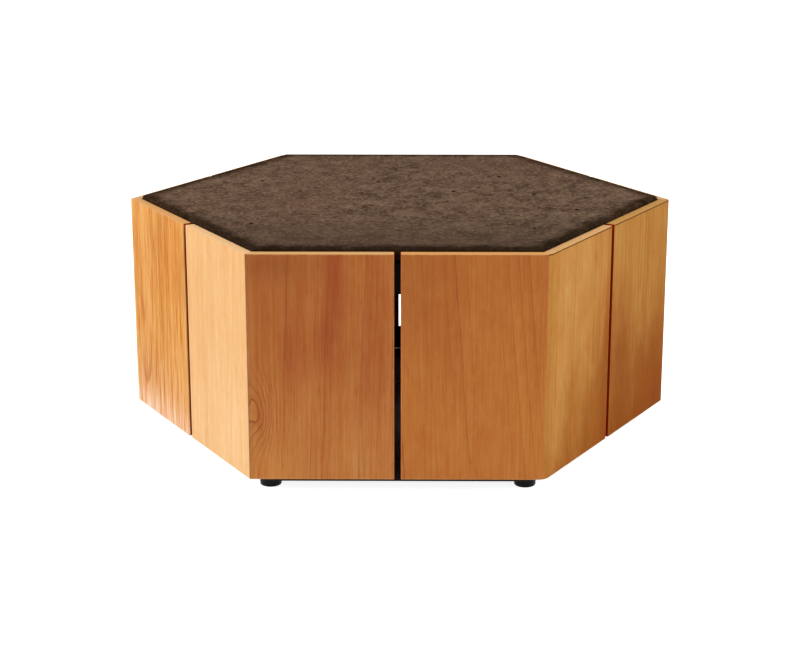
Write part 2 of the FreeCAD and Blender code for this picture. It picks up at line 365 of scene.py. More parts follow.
@dataclass(frozen=True)
class TimberEffect(Effect):
    """Wood sawn from a log, drawn in the board's own directions: along it, out of its face and up.

    A span is the pair of values between which a smooth step runs.
    """

    seed_shift: Triple = (1.7, 2.3, 3.1)
    level_parts: Triple = (1.0, 1.0, 0.0)
    face_parts: Triple = (1.0, 0.0, 1.0)
    sway: Cloud = Cloud((6.0, 6.0, 2.0))
    eye_shape: Triple = (1.0, 0.0, 0.46)
    eye_wobble: Cloud = Cloud((42.0, 42.0, 20.0))
    bold_reach: float = 0.6
    bold_boost: float = 0.9
    line_peak: float = 0.4
    soft_start: float = 0.1
    soft_share: float = 0.35
    faintest_year: float = 0.1
    patches: Cloud = Cloud((24.0, 24.0, 4.0))
    patch_span: Pair = (0.3, 0.62)
    faintest_patch: float = 0.3
    heart_warmth: float = 0.25
    broad_tones: Cloud = Cloud((15.0, 15.0, 1.7), 3.0)
    year_tone: float = 0.12
    warm_span: Pair = (0.36, 0.66)
    foot_edge: Cloud = Cloud((13.0, 13.0, 6.0), 3.0, 0.6)
    foot_raggedness: float = 0.3
    foot_span: Pair = (0.15, -0.15)
    streak_roughness: float = 0.62
    fibre_detail: float = 4.0
    band_detail: float = 3.0
    band_length: float = 0.77
    pore_detail: float = 1.0
    pore_span: Pair = (0.55, 0.7)
    mottle: Cloud = Cloud((50.0, 50.0, 22.0), 6.0, 0.72)
    grain_in_red_green_blue: Triple = (0.35, 1.0, 1.8)
    fibre_relief: float = 0.6
    line_relief: float = 0.3
    pore_relief: float = 0.8
    roughness: float = 0.42
    fibre_roughness: float = 0.18
    pore_roughness: float = 0.2

    def build(self) -> bpy.types.NodeTree:
        """Build the group.

        Returns:
            Its tree, with the outputs Color, Height and Roughness.
        """
        numbers = ("Seed", "Ring Spacing", "Line Width", "Line Strength", "Wander", "Eye Size", "Eye Lift",
                   "Warm Amount", "Fibre Width", "Fibre Length", "Fibre Strength", "Pore Width",
                   "Pore Length", "Pore Strength", "Band Width", "Band Strength", "Mottle Strength",
                   "Foot Level", "Foot Slant")
        wires, given, result = start_group(
            "timber", {"Color": "Color", "Height": "Float", "Roughness": "Float"},
            Vector=("Place", "Pith", "Lean", "Eye"), Float=numbers, Color=("Light", "Warm", "Dark", "Foot"))
        sample = wires.vector("ADD", given["Place"], wires.scaled(self.seed_shift, given["Seed"]))
        late, year, heart = self.growth_rings(wires, given, sample)
        fibre = self.streaks(wires, sample, given["Fibre Width"], given["Fibre Length"], self.fibre_detail)
        bands = self.streaks(wires, sample, given["Band Width"], self.band_length, self.band_detail)
        pores = self.streaks(wires, sample, given["Pore Width"], given["Pore Length"], self.pore_detail)
        pores = wires.step(pores, *self.pore_span)
        colour = self.heart_tint(wires, given, sample, year)
        colour = wires.mix(wires.times(heart, self.heart_warmth), colour, given["Warm"])
        colour = wires.mix(wires.times(late, given["Line Strength"], clamp=True), colour, given["Dark"])
        grain = wires.centred(fibre, given["Fibre Strength"])
        grain = wires.plus(grain, wires.centred(bands, given["Band Strength"]))
        mottle = wires.cloud(sample, self.mottle)
        grain = wires.plus(grain, wires.centred(mottle, given["Mottle Strength"]))
        grain = wires.minus(grain, wires.times(pores, given["Pore Strength"]))
        shades = [wires.calc("MULTIPLY_ADD", grain, share, 1.0) for share in self.grain_in_red_green_blue]
        grain_colour = wires.add("ShaderNodeCombineColor", dict(enumerate(shades))).outputs[0]
        relief = wires.minus(wires.times(fibre, self.fibre_relief), wires.times(late, self.line_relief))
        rough = wires.calc("MULTIPLY_ADD", fibre, self.fibre_roughness, self.roughness)
        wires.fill(result, {
            "Color": wires.mix(1.0, colour, grain_colour, "MULTIPLY"),
            "Height": wires.minus(relief, wires.times(pores, self.pore_relief)),
            "Roughness": wires.calc("MULTIPLY_ADD", pores, self.pore_roughness, rough)})
        return wires.tree

    def streaks(self, wires: Wiring, sample: Socket, width: Any, length: Any, detail: float) -> Socket:
        """Draw noise that is stretched up the board.

        Args:
            wires: Wiring of the group.
            sample: Place shifted by the board's seed.
            width: Width of a streak.
            length: Length of a streak.
            detail: Number of finer layers.

        Returns:
            The noise, about 0.5 in the mean.
        """
        across = wires.over(1.0, width)
        upwards = wires.over(1.0, length)
        stretch = wires.add("ShaderNodeCombineXYZ", {0: across, 1: across, 2: upwards}).outputs[0]
        return wires.cloud(sample, Cloud(stretch, detail, self.streak_roughness))

    def from_eye(self, wires: Wiring, given: Any, sample: Socket) -> Socket:
        """Measure how far a place is from the board's eye, a tall oval with a wobbling border.

        Args:
            wires: Wiring of the group.
            given: The group's inputs.
            sample: Place shifted by the board's seed.

        Returns:
            The distance, in sizes of the eye.
        """
        arm = wires.vector("SUBTRACT", given["Place"], given["Eye"])
        arm = wires.vector("MULTIPLY", arm, self.eye_shape)
        wobble = wires.push(sample, self.eye_wobble, given["Wander"])
        arm = wires.vector("ADD", arm, wires.vector("MULTIPLY", wobble, self.face_parts))
        return wires.over(wires.length(arm), given["Eye Size"])

    def growth_rings(self, wires: Wiring, given: Any, sample: Socket) -> tuple[Socket, Socket, Socket]:
        """Draw rings round a leaning pith, lifted and bolder round an eye.

        Args:
            wires: Wiring of the group.
            given: The group's inputs.
            sample: Place shifted by the board's seed.

        Returns:
            Strength of the dark late wood, a random number for each ring, and the mask of the eye's heart.
        """
        arm = wires.vector("SUBTRACT", given["Place"], given["Pith"])
        arm = wires.vector("SUBTRACT", arm, wires.scaled(given["Lean"], wires.parts(given["Place"])[2]))
        arm = wires.vector("ADD", arm, wires.push(sample, self.sway, given["Wander"]))
        from_pith = wires.length(wires.vector("MULTIPLY", arm, self.level_parts))
        from_eye = self.from_eye(wires, given, sample)
        eye = wires.bell(from_eye)
        bold = wires.bell(wires.times(from_eye, self.bold_reach))
        distance = wires.calc("MULTIPLY_ADD", eye, given["Eye Lift"], from_pith)
        rings = wires.over(distance, given["Ring Spacing"])
        ring = wires.calc("FRACT", rings)
        count = wires.plus(wires.calc("FLOOR", rings), given["Seed"])
        year = wires.add("ShaderNodeTexWhiteNoise", {"W": count}, noise_dimensions="1D").outputs["Value"]
        width = wires.over(given["Line Width"], given["Ring Spacing"])
        peak = wires.calc("MULTIPLY_ADD", width, -self.line_peak, 1.0)
        soft = wires.times(wires.step(ring, self.soft_start, peak), self.soft_share)
        line = wires.step(ring, wires.minus(1.0, width), peak)
        late = wires.calc("MULTIPLY_ADD", line, 1.0 - self.soft_share, soft)
        late = wires.times(late, wires.step(ring, peak, 1.0, 1.0, 0.0))
        strong_year = wires.step(year, 0.0, 1.0, self.faintest_year)
        patch = wires.step(wires.cloud(sample, self.patches), *self.patch_span, self.faintest_patch)
        for share in (strong_year, patch):
            late = wires.times(late, wires.calc("MAXIMUM", share, bold))
        late = wires.times(late, wires.calc("MULTIPLY_ADD", bold, self.bold_boost, 1.0))
        return late, year, wires.times(eye, eye)

    def heart_tint(self, wires: Wiring, given: Any, sample: Socket, year: Socket) -> Socket:
        """Lay the warm heartwood tones and the board's lower tone over the light ones; on the front and side
        boards the lower tone holds painted floor bounce and painted shade.

        Args:
            wires: Wiring of the group.
            given: The group's inputs.
            sample: Place shifted by the board's seed.
            year: Random number for each ring.

        Returns:
            The colour before lines and fibres.
        """
        along, _, up = wires.parts(given["Place"])
        tone = wires.plus(wires.cloud(sample, self.broad_tones), wires.centred(year, self.year_tone))
        warm = wires.times(wires.step(tone, *self.warm_span), given["Warm Amount"], clamp=True)
        colour = wires.mix(warm, given["Light"], given["Warm"])
        level = wires.calc("MULTIPLY_ADD", along, given["Foot Slant"], wires.minus(up, given["Foot Level"]))
        ragged = wires.centred(wires.cloud(sample, self.foot_edge), self.foot_raggedness)
        return wires.mix(wires.step(wires.plus(level, ragged), *self.foot_span), colour, given["Foot"])


@dataclass(frozen=True)
class BlushEffect(Effect):
    """Soft upright patch of another tone, ragged at its sides, laid over a board's colour."""

    border: Cloud = Cloud((55.0, 55.0, 7.0), 3.0, 0.6)
    raggedness: float = 2.0

    def build(self) -> bpy.types.NodeTree:
        """Build the group.

        Returns:
            Its tree, with the output Color.
        """
        wires, given, result = start_group(
            "blush", {"Color": "Color"}, Vector=("Place",), Color=("Color", "Tint"),
            Float=("Along", "Up", "Half Width", "Half Height"))
        along, _, up = wires.parts(given["Place"])
        aside = wires.over(wires.minus(along, given["Along"]), given["Half Width"])
        ragged = wires.centred(wires.cloud(given["Place"], self.border), self.raggedness)
        rise = wires.over(wires.minus(up, given["Up"]), given["Half Height"])
        mask = wires.times(wires.bell(wires.plus(aside, ragged)), wires.bell(rise))
        wires.feed(result.inputs["Color"], wires.mix(mask, given["Color"], given["Tint"], "MULTIPLY"))
        return wires.tree


@dataclass(frozen=True)
class EdgeEffect(Effect):
    """Masks along a board's borders: its rim (partly painted top light), the painted shade line under it,
    rubbed arrises with a painted highlight, the painted shade line at the mitre and the gap face in painted
    shade.

    A span gives the distances from a border between which a mask rises or falls.
    """

    rim_span: Pair = (1.1 * MM, 0.3 * MM)
    line_rise: Pair = (0.5 * MM, 1.1 * MM)
    line_fall: Pair = (3.4 * MM, 2.2 * MM)
    rubbing: Cloud = Cloud((90.0, 90.0, 90.0), 3.0, 0.6)
    rubbing_span: Pair = (0.3, 0.7)
    rubbed_reach: Pair = (1.0 * MM, 3.5 * MM)
    mitre_span: Pair = (1.7 * MM, 0.6 * MM)
    gap_span: Pair = (0.9 * MM, 0.2 * MM)
    gap_blur: float = 0.6 * MM

    def build(self) -> bpy.types.NodeTree:
        """Build the group.

        Returns:
            Its tree, with one output for each mask.
        """
        masks = ("Rim", "Under Rim", "Rubbed", "Mitre", "Gap")
        wires, given, result = start_group(
            "edges", dict.fromkeys(masks, "Float"), Vector=("Place",),
            Float=("Half Width", "Half Height", "Half Depth", "Mitre Side", "Gap Lit"))
        along, out, up = wires.parts(given["Place"])
        below_rim = wires.minus(given["Half Height"], up)
        under = wires.times(wires.step(below_rim, *self.line_fall), wires.step(below_rim, *self.line_rise))
        from_side = wires.minus(given["Half Width"], wires.calc("ABSOLUTE", along))
        from_end = wires.minus(given["Half Height"], wires.calc("ABSOLUTE", up))
        ragged = wires.cloud(given["Place"], self.rubbing)
        reach = wires.step(ragged, *self.rubbing_span, *self.rubbed_reach)
        near = wires.over(wires.calc("MINIMUM", from_side, from_end), reach)
        to_mitre = wires.times(along, given["Mitre Side"])
        from_mitre = wires.minus(given["Half Width"], to_mitre)
        from_gap = wires.plus(given["Half Width"], to_mitre)
        depth = wires.minus(wires.plus(out, given["Half Depth"]), given["Gap Lit"])
        deep = wires.step(depth, -self.gap_blur, self.gap_blur)
        wires.fill(result, {
            "Rim": wires.step(below_rim, *self.rim_span),
            "Under Rim": under,
            # Arris band: partly rubbed wear, partly a painted highlight where the arrises catch the light.
            "Rubbed": wires.minus(1.0, near, clamp=True),
            "Mitre": wires.step(from_mitre, *self.mitre_span),
            # Gap faces deeper than the lit strip: painted shade.
            "Gap": wires.times(wires.step(from_gap, *self.gap_span), deep)})
        return wires.tree


@dataclass(frozen=True)
class SpeckleEffect(Effect):
    """Fine all-over texture of a coat or moulding: an orange-peel height and a patchy mask."""

    patch_detail: float = 4.0
    patch_roughness: float = 0.6
    patch_span: Pair = (0.35, 0.7)

    def build(self) -> bpy.types.NodeTree:
        """Build the group.

        Returns:
            Its tree, with the outputs Height and Mask.
        """
        wires, given, result = start_group(
            "speckle", {"Height": "Float", "Mask": "Float"}, Vector=("Place", "Grain", "Patch"))
        patches = Cloud(given["Patch"], self.patch_detail, self.patch_roughness)
        wires.fill(result, {
            "Height": wires.cloud(given["Place"], Cloud(given["Grain"])),
            "Mask": wires.step(wires.cloud(given["Place"], patches), *self.patch_span)})
        return wires.tree


TIMBER = TimberEffect()
BLUSH = BlushEffect()
EDGES = EdgeEffect()
SPECKLE = SpeckleEffect()


class GroupBook:
    """Keeps the shader group of each effect, built on first use."""

    def __init__(self) -> None:
        """Start with no groups."""
        self.trees: dict[Effect, bpy.types.NodeTree] = {}

    def place(self, wires: Wiring, effect: Effect, inputs: dict[str, Any], finish: Any = None) -> Any:
        """Put an effect into a material.

        Args:
            wires: Wiring of the material.
            effect: The effect.
            inputs: Values or sockets for the group's inputs.
            finish: Dataclass whose fields fill the inputs that are called after them.

        Returns:
            The outputs of the new group node, by name.
        """
        if effect not in self.trees:
            self.trees[effect] = effect.build()
        node = wires.add("ShaderNodeGroup", node_tree=self.trees[effect])
        fields = vars(finish) if finish else {}
        titled = {field.replace("_", " ").title(): value for field, value in fields.items()}
        wires.fill(node, {label: value for label, value in titled.items() if label in node.inputs})
        wires.fill(node, inputs)
        return node.outputs


@dataclass(frozen=True)
class Blush:
    """A soft patch on a board's face that its colour is multiplied by.

    Lengths are in metres, from the middle of the board.
    """

    along: float
    up: float
    half_width: float
    half_height: float
    tint: Colour


@dataclass(frozen=True)
class BoardFinish:
    """Look of one board: its colours and how it lay in the log.

    Lengths are in metres; places are given from the middle of the board as along it, out of its face and up.
    An eye far above the board leaves no mark on it.
    """

    light: Colour
    warm: Colour
    dark: Colour
    # Lower tone: painted floor bounce on the left and front boards, painted shade on the right-front ones,
    # the wood's own tone on the rear ones.
    foot: Colour
    seed: float
    pith: Triple = (0.3, 0.08, 0.0)
    lean: Triple = (0.0, 0.05, 0.0)
    ring_spacing: float = 0.009
    line_width: float = 0.0022
    line_strength: float = 0.5
    wander: float = 0.02
    eye: Triple = (0.0, 0.0, 9.0)
    eye_size: float = 0.03
    eye_lift: float = 0.0
    warm_amount: float = 0.5
    fibre_width: float = 0.0023
    fibre_length: float = 0.11
    fibre_strength: float = 0.3
    pore_width: float = 0.0012
    pore_length: float = 0.02
    pore_strength: float = 0.12
    band_width: float = 0.008
    band_strength: float = 0.5
    mottle_strength: float = 0.25
    foot_level: float = -0.1
    foot_slant: float = 0.0
    specular: float = 0.2
    # Top end faces: partly the end grain's tone, partly painted light from above.
    rim: Colour = (0.72, 0.41, 0.15)
    mitre_line: float = 0.6
    rim_line: float = 0.0
    gap_lit: float = 0.0
    blushes: tuple[Blush, ...] = ()


@dataclass(frozen=True)
class CoatFinish:
    """Look of an evenly coated, moulded or plated piece."""

    name: str
    colour: Colour
    faded: Colour
    metallic: float
    roughness: Pair
    grain: float
    bump: float
    bump_depth: float = 0.1 * MM
    patch: float = 18.0
    specular: float = 0.5

    def material(self, groups: GroupBook) -> bpy.types.Material:
        """Make the material.

        Args:
            groups: Shared shader groups.

        Returns:
            The new material.
        """
        material, wires, shader = start_material(self.name)
        inputs = {"Place": wires.place(), "Grain": (self.grain,) * 3, "Patch": (self.patch,) * 3}
        speckle = groups.place(wires, SPECKLE, inputs)
        wires.fill(shader, {
            "Base Color": wires.mix(speckle["Mask"], self.colour, self.faded),
            "Roughness": wires.step(speckle["Mask"], 0.0, 1.0, *self.roughness),
            "Metallic": self.metallic,
            "Specular IOR Level": self.specular})
        wires.bump(shader, speckle["Height"], self.bump, self.bump_depth)
        return material


POWDER_COAT = CoatFinish(
    "powder_coat", (0.004, 0.0036, 0.0033), (0.007, 0.006, 0.0055), metallic=0.0, roughness=(0.6, 0.72),
    grain=1500.0, bump=0.25, specular=0.06)
MOULDED_BLACK = CoatFinish(
    "moulded_black", (0.004, 0.004, 0.004), (0.007, 0.0066, 0.0066), metallic=0.0, roughness=(0.36, 0.48),
    grain=2500.0, bump=0.1, specular=0.1)
ZINC_PLATE = CoatFinish(
    "zinc_plate", (0.56, 0.55, 0.52), (0.42, 0.41, 0.38), metallic=1.0, roughness=(0.3, 0.48), grain=900.0,
    bump=0.08)
BLACK_RUBBER = CoatFinish(
    "black_rubber", (0.018, 0.018, 0.018), (0.03, 0.029, 0.028), metallic=0.0, roughness=(0.75, 0.9),
    grain=1200.0, bump=0.3)


def dress(node_name: str, material: bpy.types.Material) -> None:
    """Give a CAD node its material.

    Args:
        node_name: Name of the node.
        material: Its finish.
    """
    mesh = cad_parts[node_name].data
    mesh.materials.clear()
    mesh.materials.append(material)
    LOG.info("%s takes %s", node_name, material.name)


def make_piece(name: str, shape: bmesh.types.BMesh, material: bpy.types.Material,
               crease: float = 40.0) -> bpy.types.Object:
    """Turn a finished shape into a piece of the scene.

    Args:
        name: Name of the piece.
        shape: Its mesh, which is used up.
        material: Its material.
        crease: Angle in degrees from which an edge shades sharp.

    Returns:
        The new object, at the origin.
    """
    bmesh.ops.recalc_face_normals(shape, faces=shape.faces)
    mesh = bpy.data.meshes.new(name)
    shape.to_mesh(mesh)
    shape.free()
    mesh.shade_smooth()
    mesh.set_sharp_from_angle(angle=math.radians(crease))
    mesh.materials.append(material)
    piece = bpy.data.objects.new(name, mesh)
    bpy.context.scene.collection.objects.link(piece)
    return piece


def settle(piece: bpy.types.Object, body: str, slot: str, *nodes: str) -> None:
    """Let a piece ride on a body and stand for CAD nodes.

    Args:
        piece: The piece.
        body: Name of the body.
        slot: Material slot that the piece would take its finish from; not used.
        nodes: CAD nodes that the piece replaces.
    """
    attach(piece, body)
    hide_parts(*nodes)
    LOG.info("%s rides on %s", piece.name, body)


def new_verts(items: list[Any]) -> list[bmesh.types.BMVert]:
    """Those of an operator's results that are vertices."""
    return [item for item in items if isinstance(item, bmesh.types.BMVert)]


def whole(shape: bmesh.types.BMesh) -> list[Any]:
    """Everything that a shape is made of."""
    return [*shape.verts, *shape.edges, *shape.faces]


def open_edges(shape: bmesh.types.BMesh) -> list[bmesh.types.BMEdge]:
    """Edges at the border of an open shape."""
    return [edge for edge in shape.edges if edge.is_boundary]


def close(shape: bmesh.types.BMesh) -> None:
    """Fill every opening of a shape."""
    bmesh.ops.holes_fill(shape, edges=open_edges(shape), sides=0)


def draw_out(shape: bmesh.types.BMesh, edges: list[bmesh.types.BMEdge]) -> list[bmesh.types.BMVert]:
    """Extrude edges and return the new vertices, still in the old places."""
    return new_verts(bmesh.ops.extrude_edge_only(shape, edges=edges)["geom"])


def sink(shape: bmesh.types.BMesh, rim: list[bmesh.types.BMEdge], mouth: list[bmesh.types.BMEdge],
         depth: float) -> list[bmesh.types.BMVert]:
    """Sink a socket into the open upper end of a turned form.

    Args:
        shape: The mesh.
        rim: Edges of the open end.
        mouth: Outline of the socket, inside the rim.
        depth: Depth of the socket.

    Returns:
        Vertices round the socket's floor, which stays open.
    """
    bmesh.ops.bridge_loops(shape, edges=rim + mouth)
    floor = draw_out(shape, mouth)
    bmesh.ops.translate(shape, verts=floor, vec=(0.0, 0.0, -depth))
    return floor


def lathe(shape: bmesh.types.BMesh, profile: list[Pair], segments: int) -> None:
    """Spin a profile round the Z axis and add the turned form to a shape.

    Args:
        shape: The mesh that is added to.
        profile: Radius and height of each point, in order along the outline.
        segments: Number of steps round.
    """
    others = set(shape.verts)
    points = [shape.verts.new((radius, 0.0, height)) for radius, height in profile]
    edges = [shape.edges.new(pair) for pair in zip(points, points[1:])]
    bmesh.ops.spin(shape, geom=points + edges, cent=(0, 0, 0), axis=(0, 0, 1), dvec=(0, 0, 0),
                   angle=FULL_TURN, steps=segments, use_merge=True, use_duplicate=False)
    turned = [vert for vert in shape.verts if vert not in others]
    bmesh.ops.remove_doubles(shape, verts=turned, dist=SAME_PLACE)


def rounded(centre: Pair, radius: float, start: float, end: float, count: int) -> list[Pair]:
    """Points of a profile's rounding, from one angle to another in degrees."""
    angles = [math.radians(start + (end - start) * i / count) for i in range(count + 1)]
    return [(centre[0] + radius * math.cos(a), centre[1] + radius * math.sin(a)) for a in angles]


def weigh_normals(piece: bpy.types.Object) -> None:
    """Keep large flat faces flat in shading beside their small roundings."""
    piece.modifiers.new("flat faces", "WEIGHTED_NORMAL").keep_sharp = True


# Paler arris colour: partly rubbed wear, partly a painted highlight.
RUBBED_AND_LIT: Colour = (0.80, 0.50, 0.20)
SHADOW: Colour = (0.06, 0.015, 0.004)
# Dark red of the gap faces: painted shade inside the gaps between the boards.
GAP_FACE_SHADE: Colour = (0.36, 0.03, 0.0)
GOLD: Colour = (0.76, 0.33, 0.06)
PALE: Colour = (0.84, 0.47, 0.17)
HONEY: Colour = (0.58, 0.25, 0.055)
TAN: Colour = (0.42, 0.14, 0.02)
AMBER: Colour = (0.50, 0.165, 0.03)
RUSSET: Colour = (0.46, 0.13, 0.022)
RED: Colour = (0.36, 0.075, 0.017)
UMBER: Colour = (0.27, 0.055, 0.007)
REDDENED: Colour = (0.88, 0.68, 0.70)
BROWNED: Colour = (0.84, 0.80, 0.78)

# Face colours are partly each board's own tone and partly painted light: the left boards, which the key lamp
# lights, are paler, the front ones darker and redder. The lower tones of the front and side boards are
# painted floor bounce on the left and front and painted shade on the right-front.
BOARD_FINISHES: dict[tuple[Side, Hand], BoardFinish] = {
    (Side.LEFT_FRONT, Hand.LEFT): BoardFinish(
        (0.75, 0.335, 0.081), (0.655, 0.27, 0.05), (0.38, 0.115, 0.014), (0.83, 0.43, 0.135), 3.0,
        pith=(-0.07, 0.03, 0.0), lean=(0.0, -0.12, 0.0), ring_spacing=0.014, line_width=0.005,
        line_strength=0.6, wander=0.012, warm_amount=0.7, fibre_width=0.0035, fibre_length=0.09,
        fibre_strength=1.9, pore_width=0.003, pore_length=0.055, pore_strength=0.34, band_width=0.016,
        band_strength=1.2, mottle_strength=0.3, specular=0.04,
        rim=(0.73, 0.37, 0.125), mitre_line=0.1, gap_lit=0.0022, blushes=(
            Blush(-0.095, 0.10, 0.035, 0.20, (1.06, 1.17, 1.45)),
            Blush(0.015, 0.08, 0.055, 0.12, (0.90, 0.82, 0.66)),
            Blush(-0.070, -0.07, 0.012, 0.10, (0.96, 0.85, 0.90)),
            Blush(-0.030, -0.11, 0.090, 0.04, (0.94, 0.90, 0.94)),
            Blush(0.020, 0.16, 0.025, 0.04, (0.94, 0.90, 0.88)),
            Blush(-0.030, 0.02, 0.025, 0.07, (1.06, 1.16, 1.36)),
            Blush(0.090, 0.08, 0.030, 0.05, (0.95, 0.92, 0.88)),
            # Pale band along the bottom of the board: painted floor bounce.
            Blush(0.000, -0.20, 0.300, 0.055, (1.20, 1.54, 3.4)))),
    (Side.LEFT_FRONT, Hand.RIGHT): BoardFinish(
        PALE, (0.77, 0.40, 0.13), (0.60, 0.27, 0.07), (0.88, 0.53, 0.225), 11.0, pith=(0.3, 0.1, 0.0),
        lean=(0.06, 0.03, 0.0), ring_spacing=0.018, line_width=0.005, line_strength=0.4, wander=0.03,
        warm_amount=0.9, fibre_strength=0.48, pore_width=0.003, pore_strength=0.04, band_width=0.016,
        mottle_strength=0.35, specular=0.4, rim=(0.85, 0.485, 0.20), gap_lit=0.0022,
        blushes=(
            Blush(-0.085, 0.05, 0.045, 0.14, (0.93, 0.85, 0.74)),
            Blush(0.05, -0.08, 0.05, 0.10, (1.04, 1.10, 1.22)))),
    (Side.FRONT, Hand.LEFT): BoardFinish(
        (0.46, 0.143, 0.028), RED, UMBER, (0.58, 0.22, 0.052), 5.0, pith=(0.35, 0.06, 0.0),
        lean=(0.03, 0.03, 0.0), line_strength=0.6, wander=0.016, eye=(-0.098, 0.0, -0.073), eye_size=0.024,
        eye_lift=0.036, warm_amount=0.3, fibre_strength=0.85, pore_width=0.002, pore_length=0.03,
        pore_strength=0.14, mottle_strength=0.55, rim=(0.76, 0.43, 0.16), blushes=(
            Blush(0.021, 0.17, 0.017, 0.13, (0.82, 0.58, 0.60)),
            Blush(0.010, 0.05, 0.022, 0.06, (0.90, 0.76, 0.78)),
            Blush(-0.046, 0.03, 0.013, 0.07, (0.90, 0.76, 0.78)),
            Blush(-0.060, 0.165, 0.05, 0.03, (0.80, 0.75, 0.73)),
            Blush(-0.100, -0.070, 0.022, 0.05, (1.05, 1.12, 1.15)),
            Blush(-0.100, -0.180, 0.040, 0.03, (1.07, 1.09, 1.05)))),
    (Side.FRONT, Hand.RIGHT): BoardFinish(
        (0.53, 0.175, 0.031), RUSSET, UMBER, (0.55, 0.185, 0.034), 8.0, pith=(-0.32, 0.04, 0.0),
        lean=(-0.08, 0.0, 0.0), ring_spacing=0.017, line_width=0.003, line_strength=0.75, wander=0.022,
        warm_amount=0.6, fibre_strength=0.7, pore_width=0.002, pore_strength=0.08,
        band_strength=0.35, mottle_strength=0.7, rim=(0.77, 0.37, 0.105), mitre_line=0.0, blushes=(
            Blush(0.0, 0.18, 0.15, 0.08, (0.93, 0.90, 0.85)),
            Blush(-0.10, 0.12, 0.05, 0.11, (0.84, 0.77, 0.74)),
            Blush(0.10, -0.06, 0.035, 0.13, (1.05, 1.13, 1.03)))),
    (Side.RIGHT_FRONT, Hand.LEFT): BoardFinish(
        (0.59, 0.28, 0.072), (0.49, 0.20, 0.038), (0.30, 0.09, 0.012), (0.385, 0.123, 0.018), 14.0,
        pith=(-0.3, 0.05, 0.0), lean=(0.02, 0.0, 0.0), ring_spacing=0.012, line_width=0.004,
        line_strength=0.3, warm_amount=0.6, fibre_strength=0.4, pore_width=0.004, pore_length=0.06,
        pore_strength=0.06, band_width=0.012, band_strength=0.35, mottle_strength=0.7,
        foot_slant=-0.9, specular=0.01, rim=(0.76, 0.43, 0.175), mitre_line=0.0, rim_line=0.85, blushes=(
            Blush(-0.085, 0.0, 0.02, 0.30, (1.05, 1.08, 1.10)),
            Blush(0.000, 0.15, 0.050, 0.06, (1.05, 1.09, 1.18)),
            Blush(0.105, -0.01, 0.036, 0.20, (0.80, 0.62, 0.47)))),
    (Side.RIGHT_FRONT, Hand.RIGHT): BoardFinish(
        (0.52, 0.243, 0.057), (0.43, 0.165, 0.026), UMBER, (0.32, 0.085, 0.010), 17.0, pith=(0.3, 0.05, 0.0),
        ring_spacing=0.011, line_width=0.004, line_strength=0.3, fibre_strength=0.8, pore_width=0.004,
        pore_length=0.06, pore_strength=0.08, band_width=0.010, band_strength=0.4,
        mottle_strength=0.6, foot_level=-0.03, foot_slant=-0.3, specular=0.01, rim=(0.57, 0.295, 0.078),
        rim_line=0.85, blushes=(
            Blush(-0.01, 0.08, 0.018, 0.12, (1.05, 1.08, 1.12)),
            Blush(-0.09, -0.01, 0.055, 0.09, (0.83, 0.62, 0.50)),
            Blush(0.09, -0.17, 0.03, 0.05, (0.93, 0.90, 0.95)))),
    (Side.RIGHT_REAR, Hand.LEFT): BoardFinish(
        HONEY, RUSSET, UMBER, AMBER, 21.0, pith=(0.03, 0.07, 0.0), lean=(0.0, 0.12, 0.0)),
    (Side.RIGHT_REAR, Hand.RIGHT): BoardFinish(
        AMBER, RED, UMBER, HONEY, 26.0, pith=(-0.25, 0.1, 0.0),
        blushes=(Blush(-0.03, 0.08, 0.02, 0.12, REDDENED),)),
    (Side.REAR, Hand.LEFT): BoardFinish(
        AMBER, RUSSET, UMBER, HONEY, 31.0, pith=(0.28, 0.09, 0.0), lean=(-0.03, 0.05, 0.0),
        eye=(0.04, 0.0, 0.07), eye_size=0.018, eye_lift=0.035),
    (Side.REAR, Hand.RIGHT): BoardFinish(
        HONEY, AMBER, UMBER, RUSSET, 37.0, pith=(-0.02, 0.06, 0.0), lean=(0.02, 0.13, 0.0)),
    (Side.LEFT_REAR, Hand.LEFT): BoardFinish(
        GOLD, HONEY, TAN, PALE, 41.0, pith=(0.27, 0.1, 0.0), blushes=(Blush(0.05, 0.1, 0.03, 0.1, BROWNED),)),
    (Side.LEFT_REAR, Hand.RIGHT): BoardFinish(
        HONEY, RUSSET, UMBER, GOLD, 47.0, pith=(-0.05, 0.08, 0.0), lean=(0.01, 0.1, 0.0)),
}


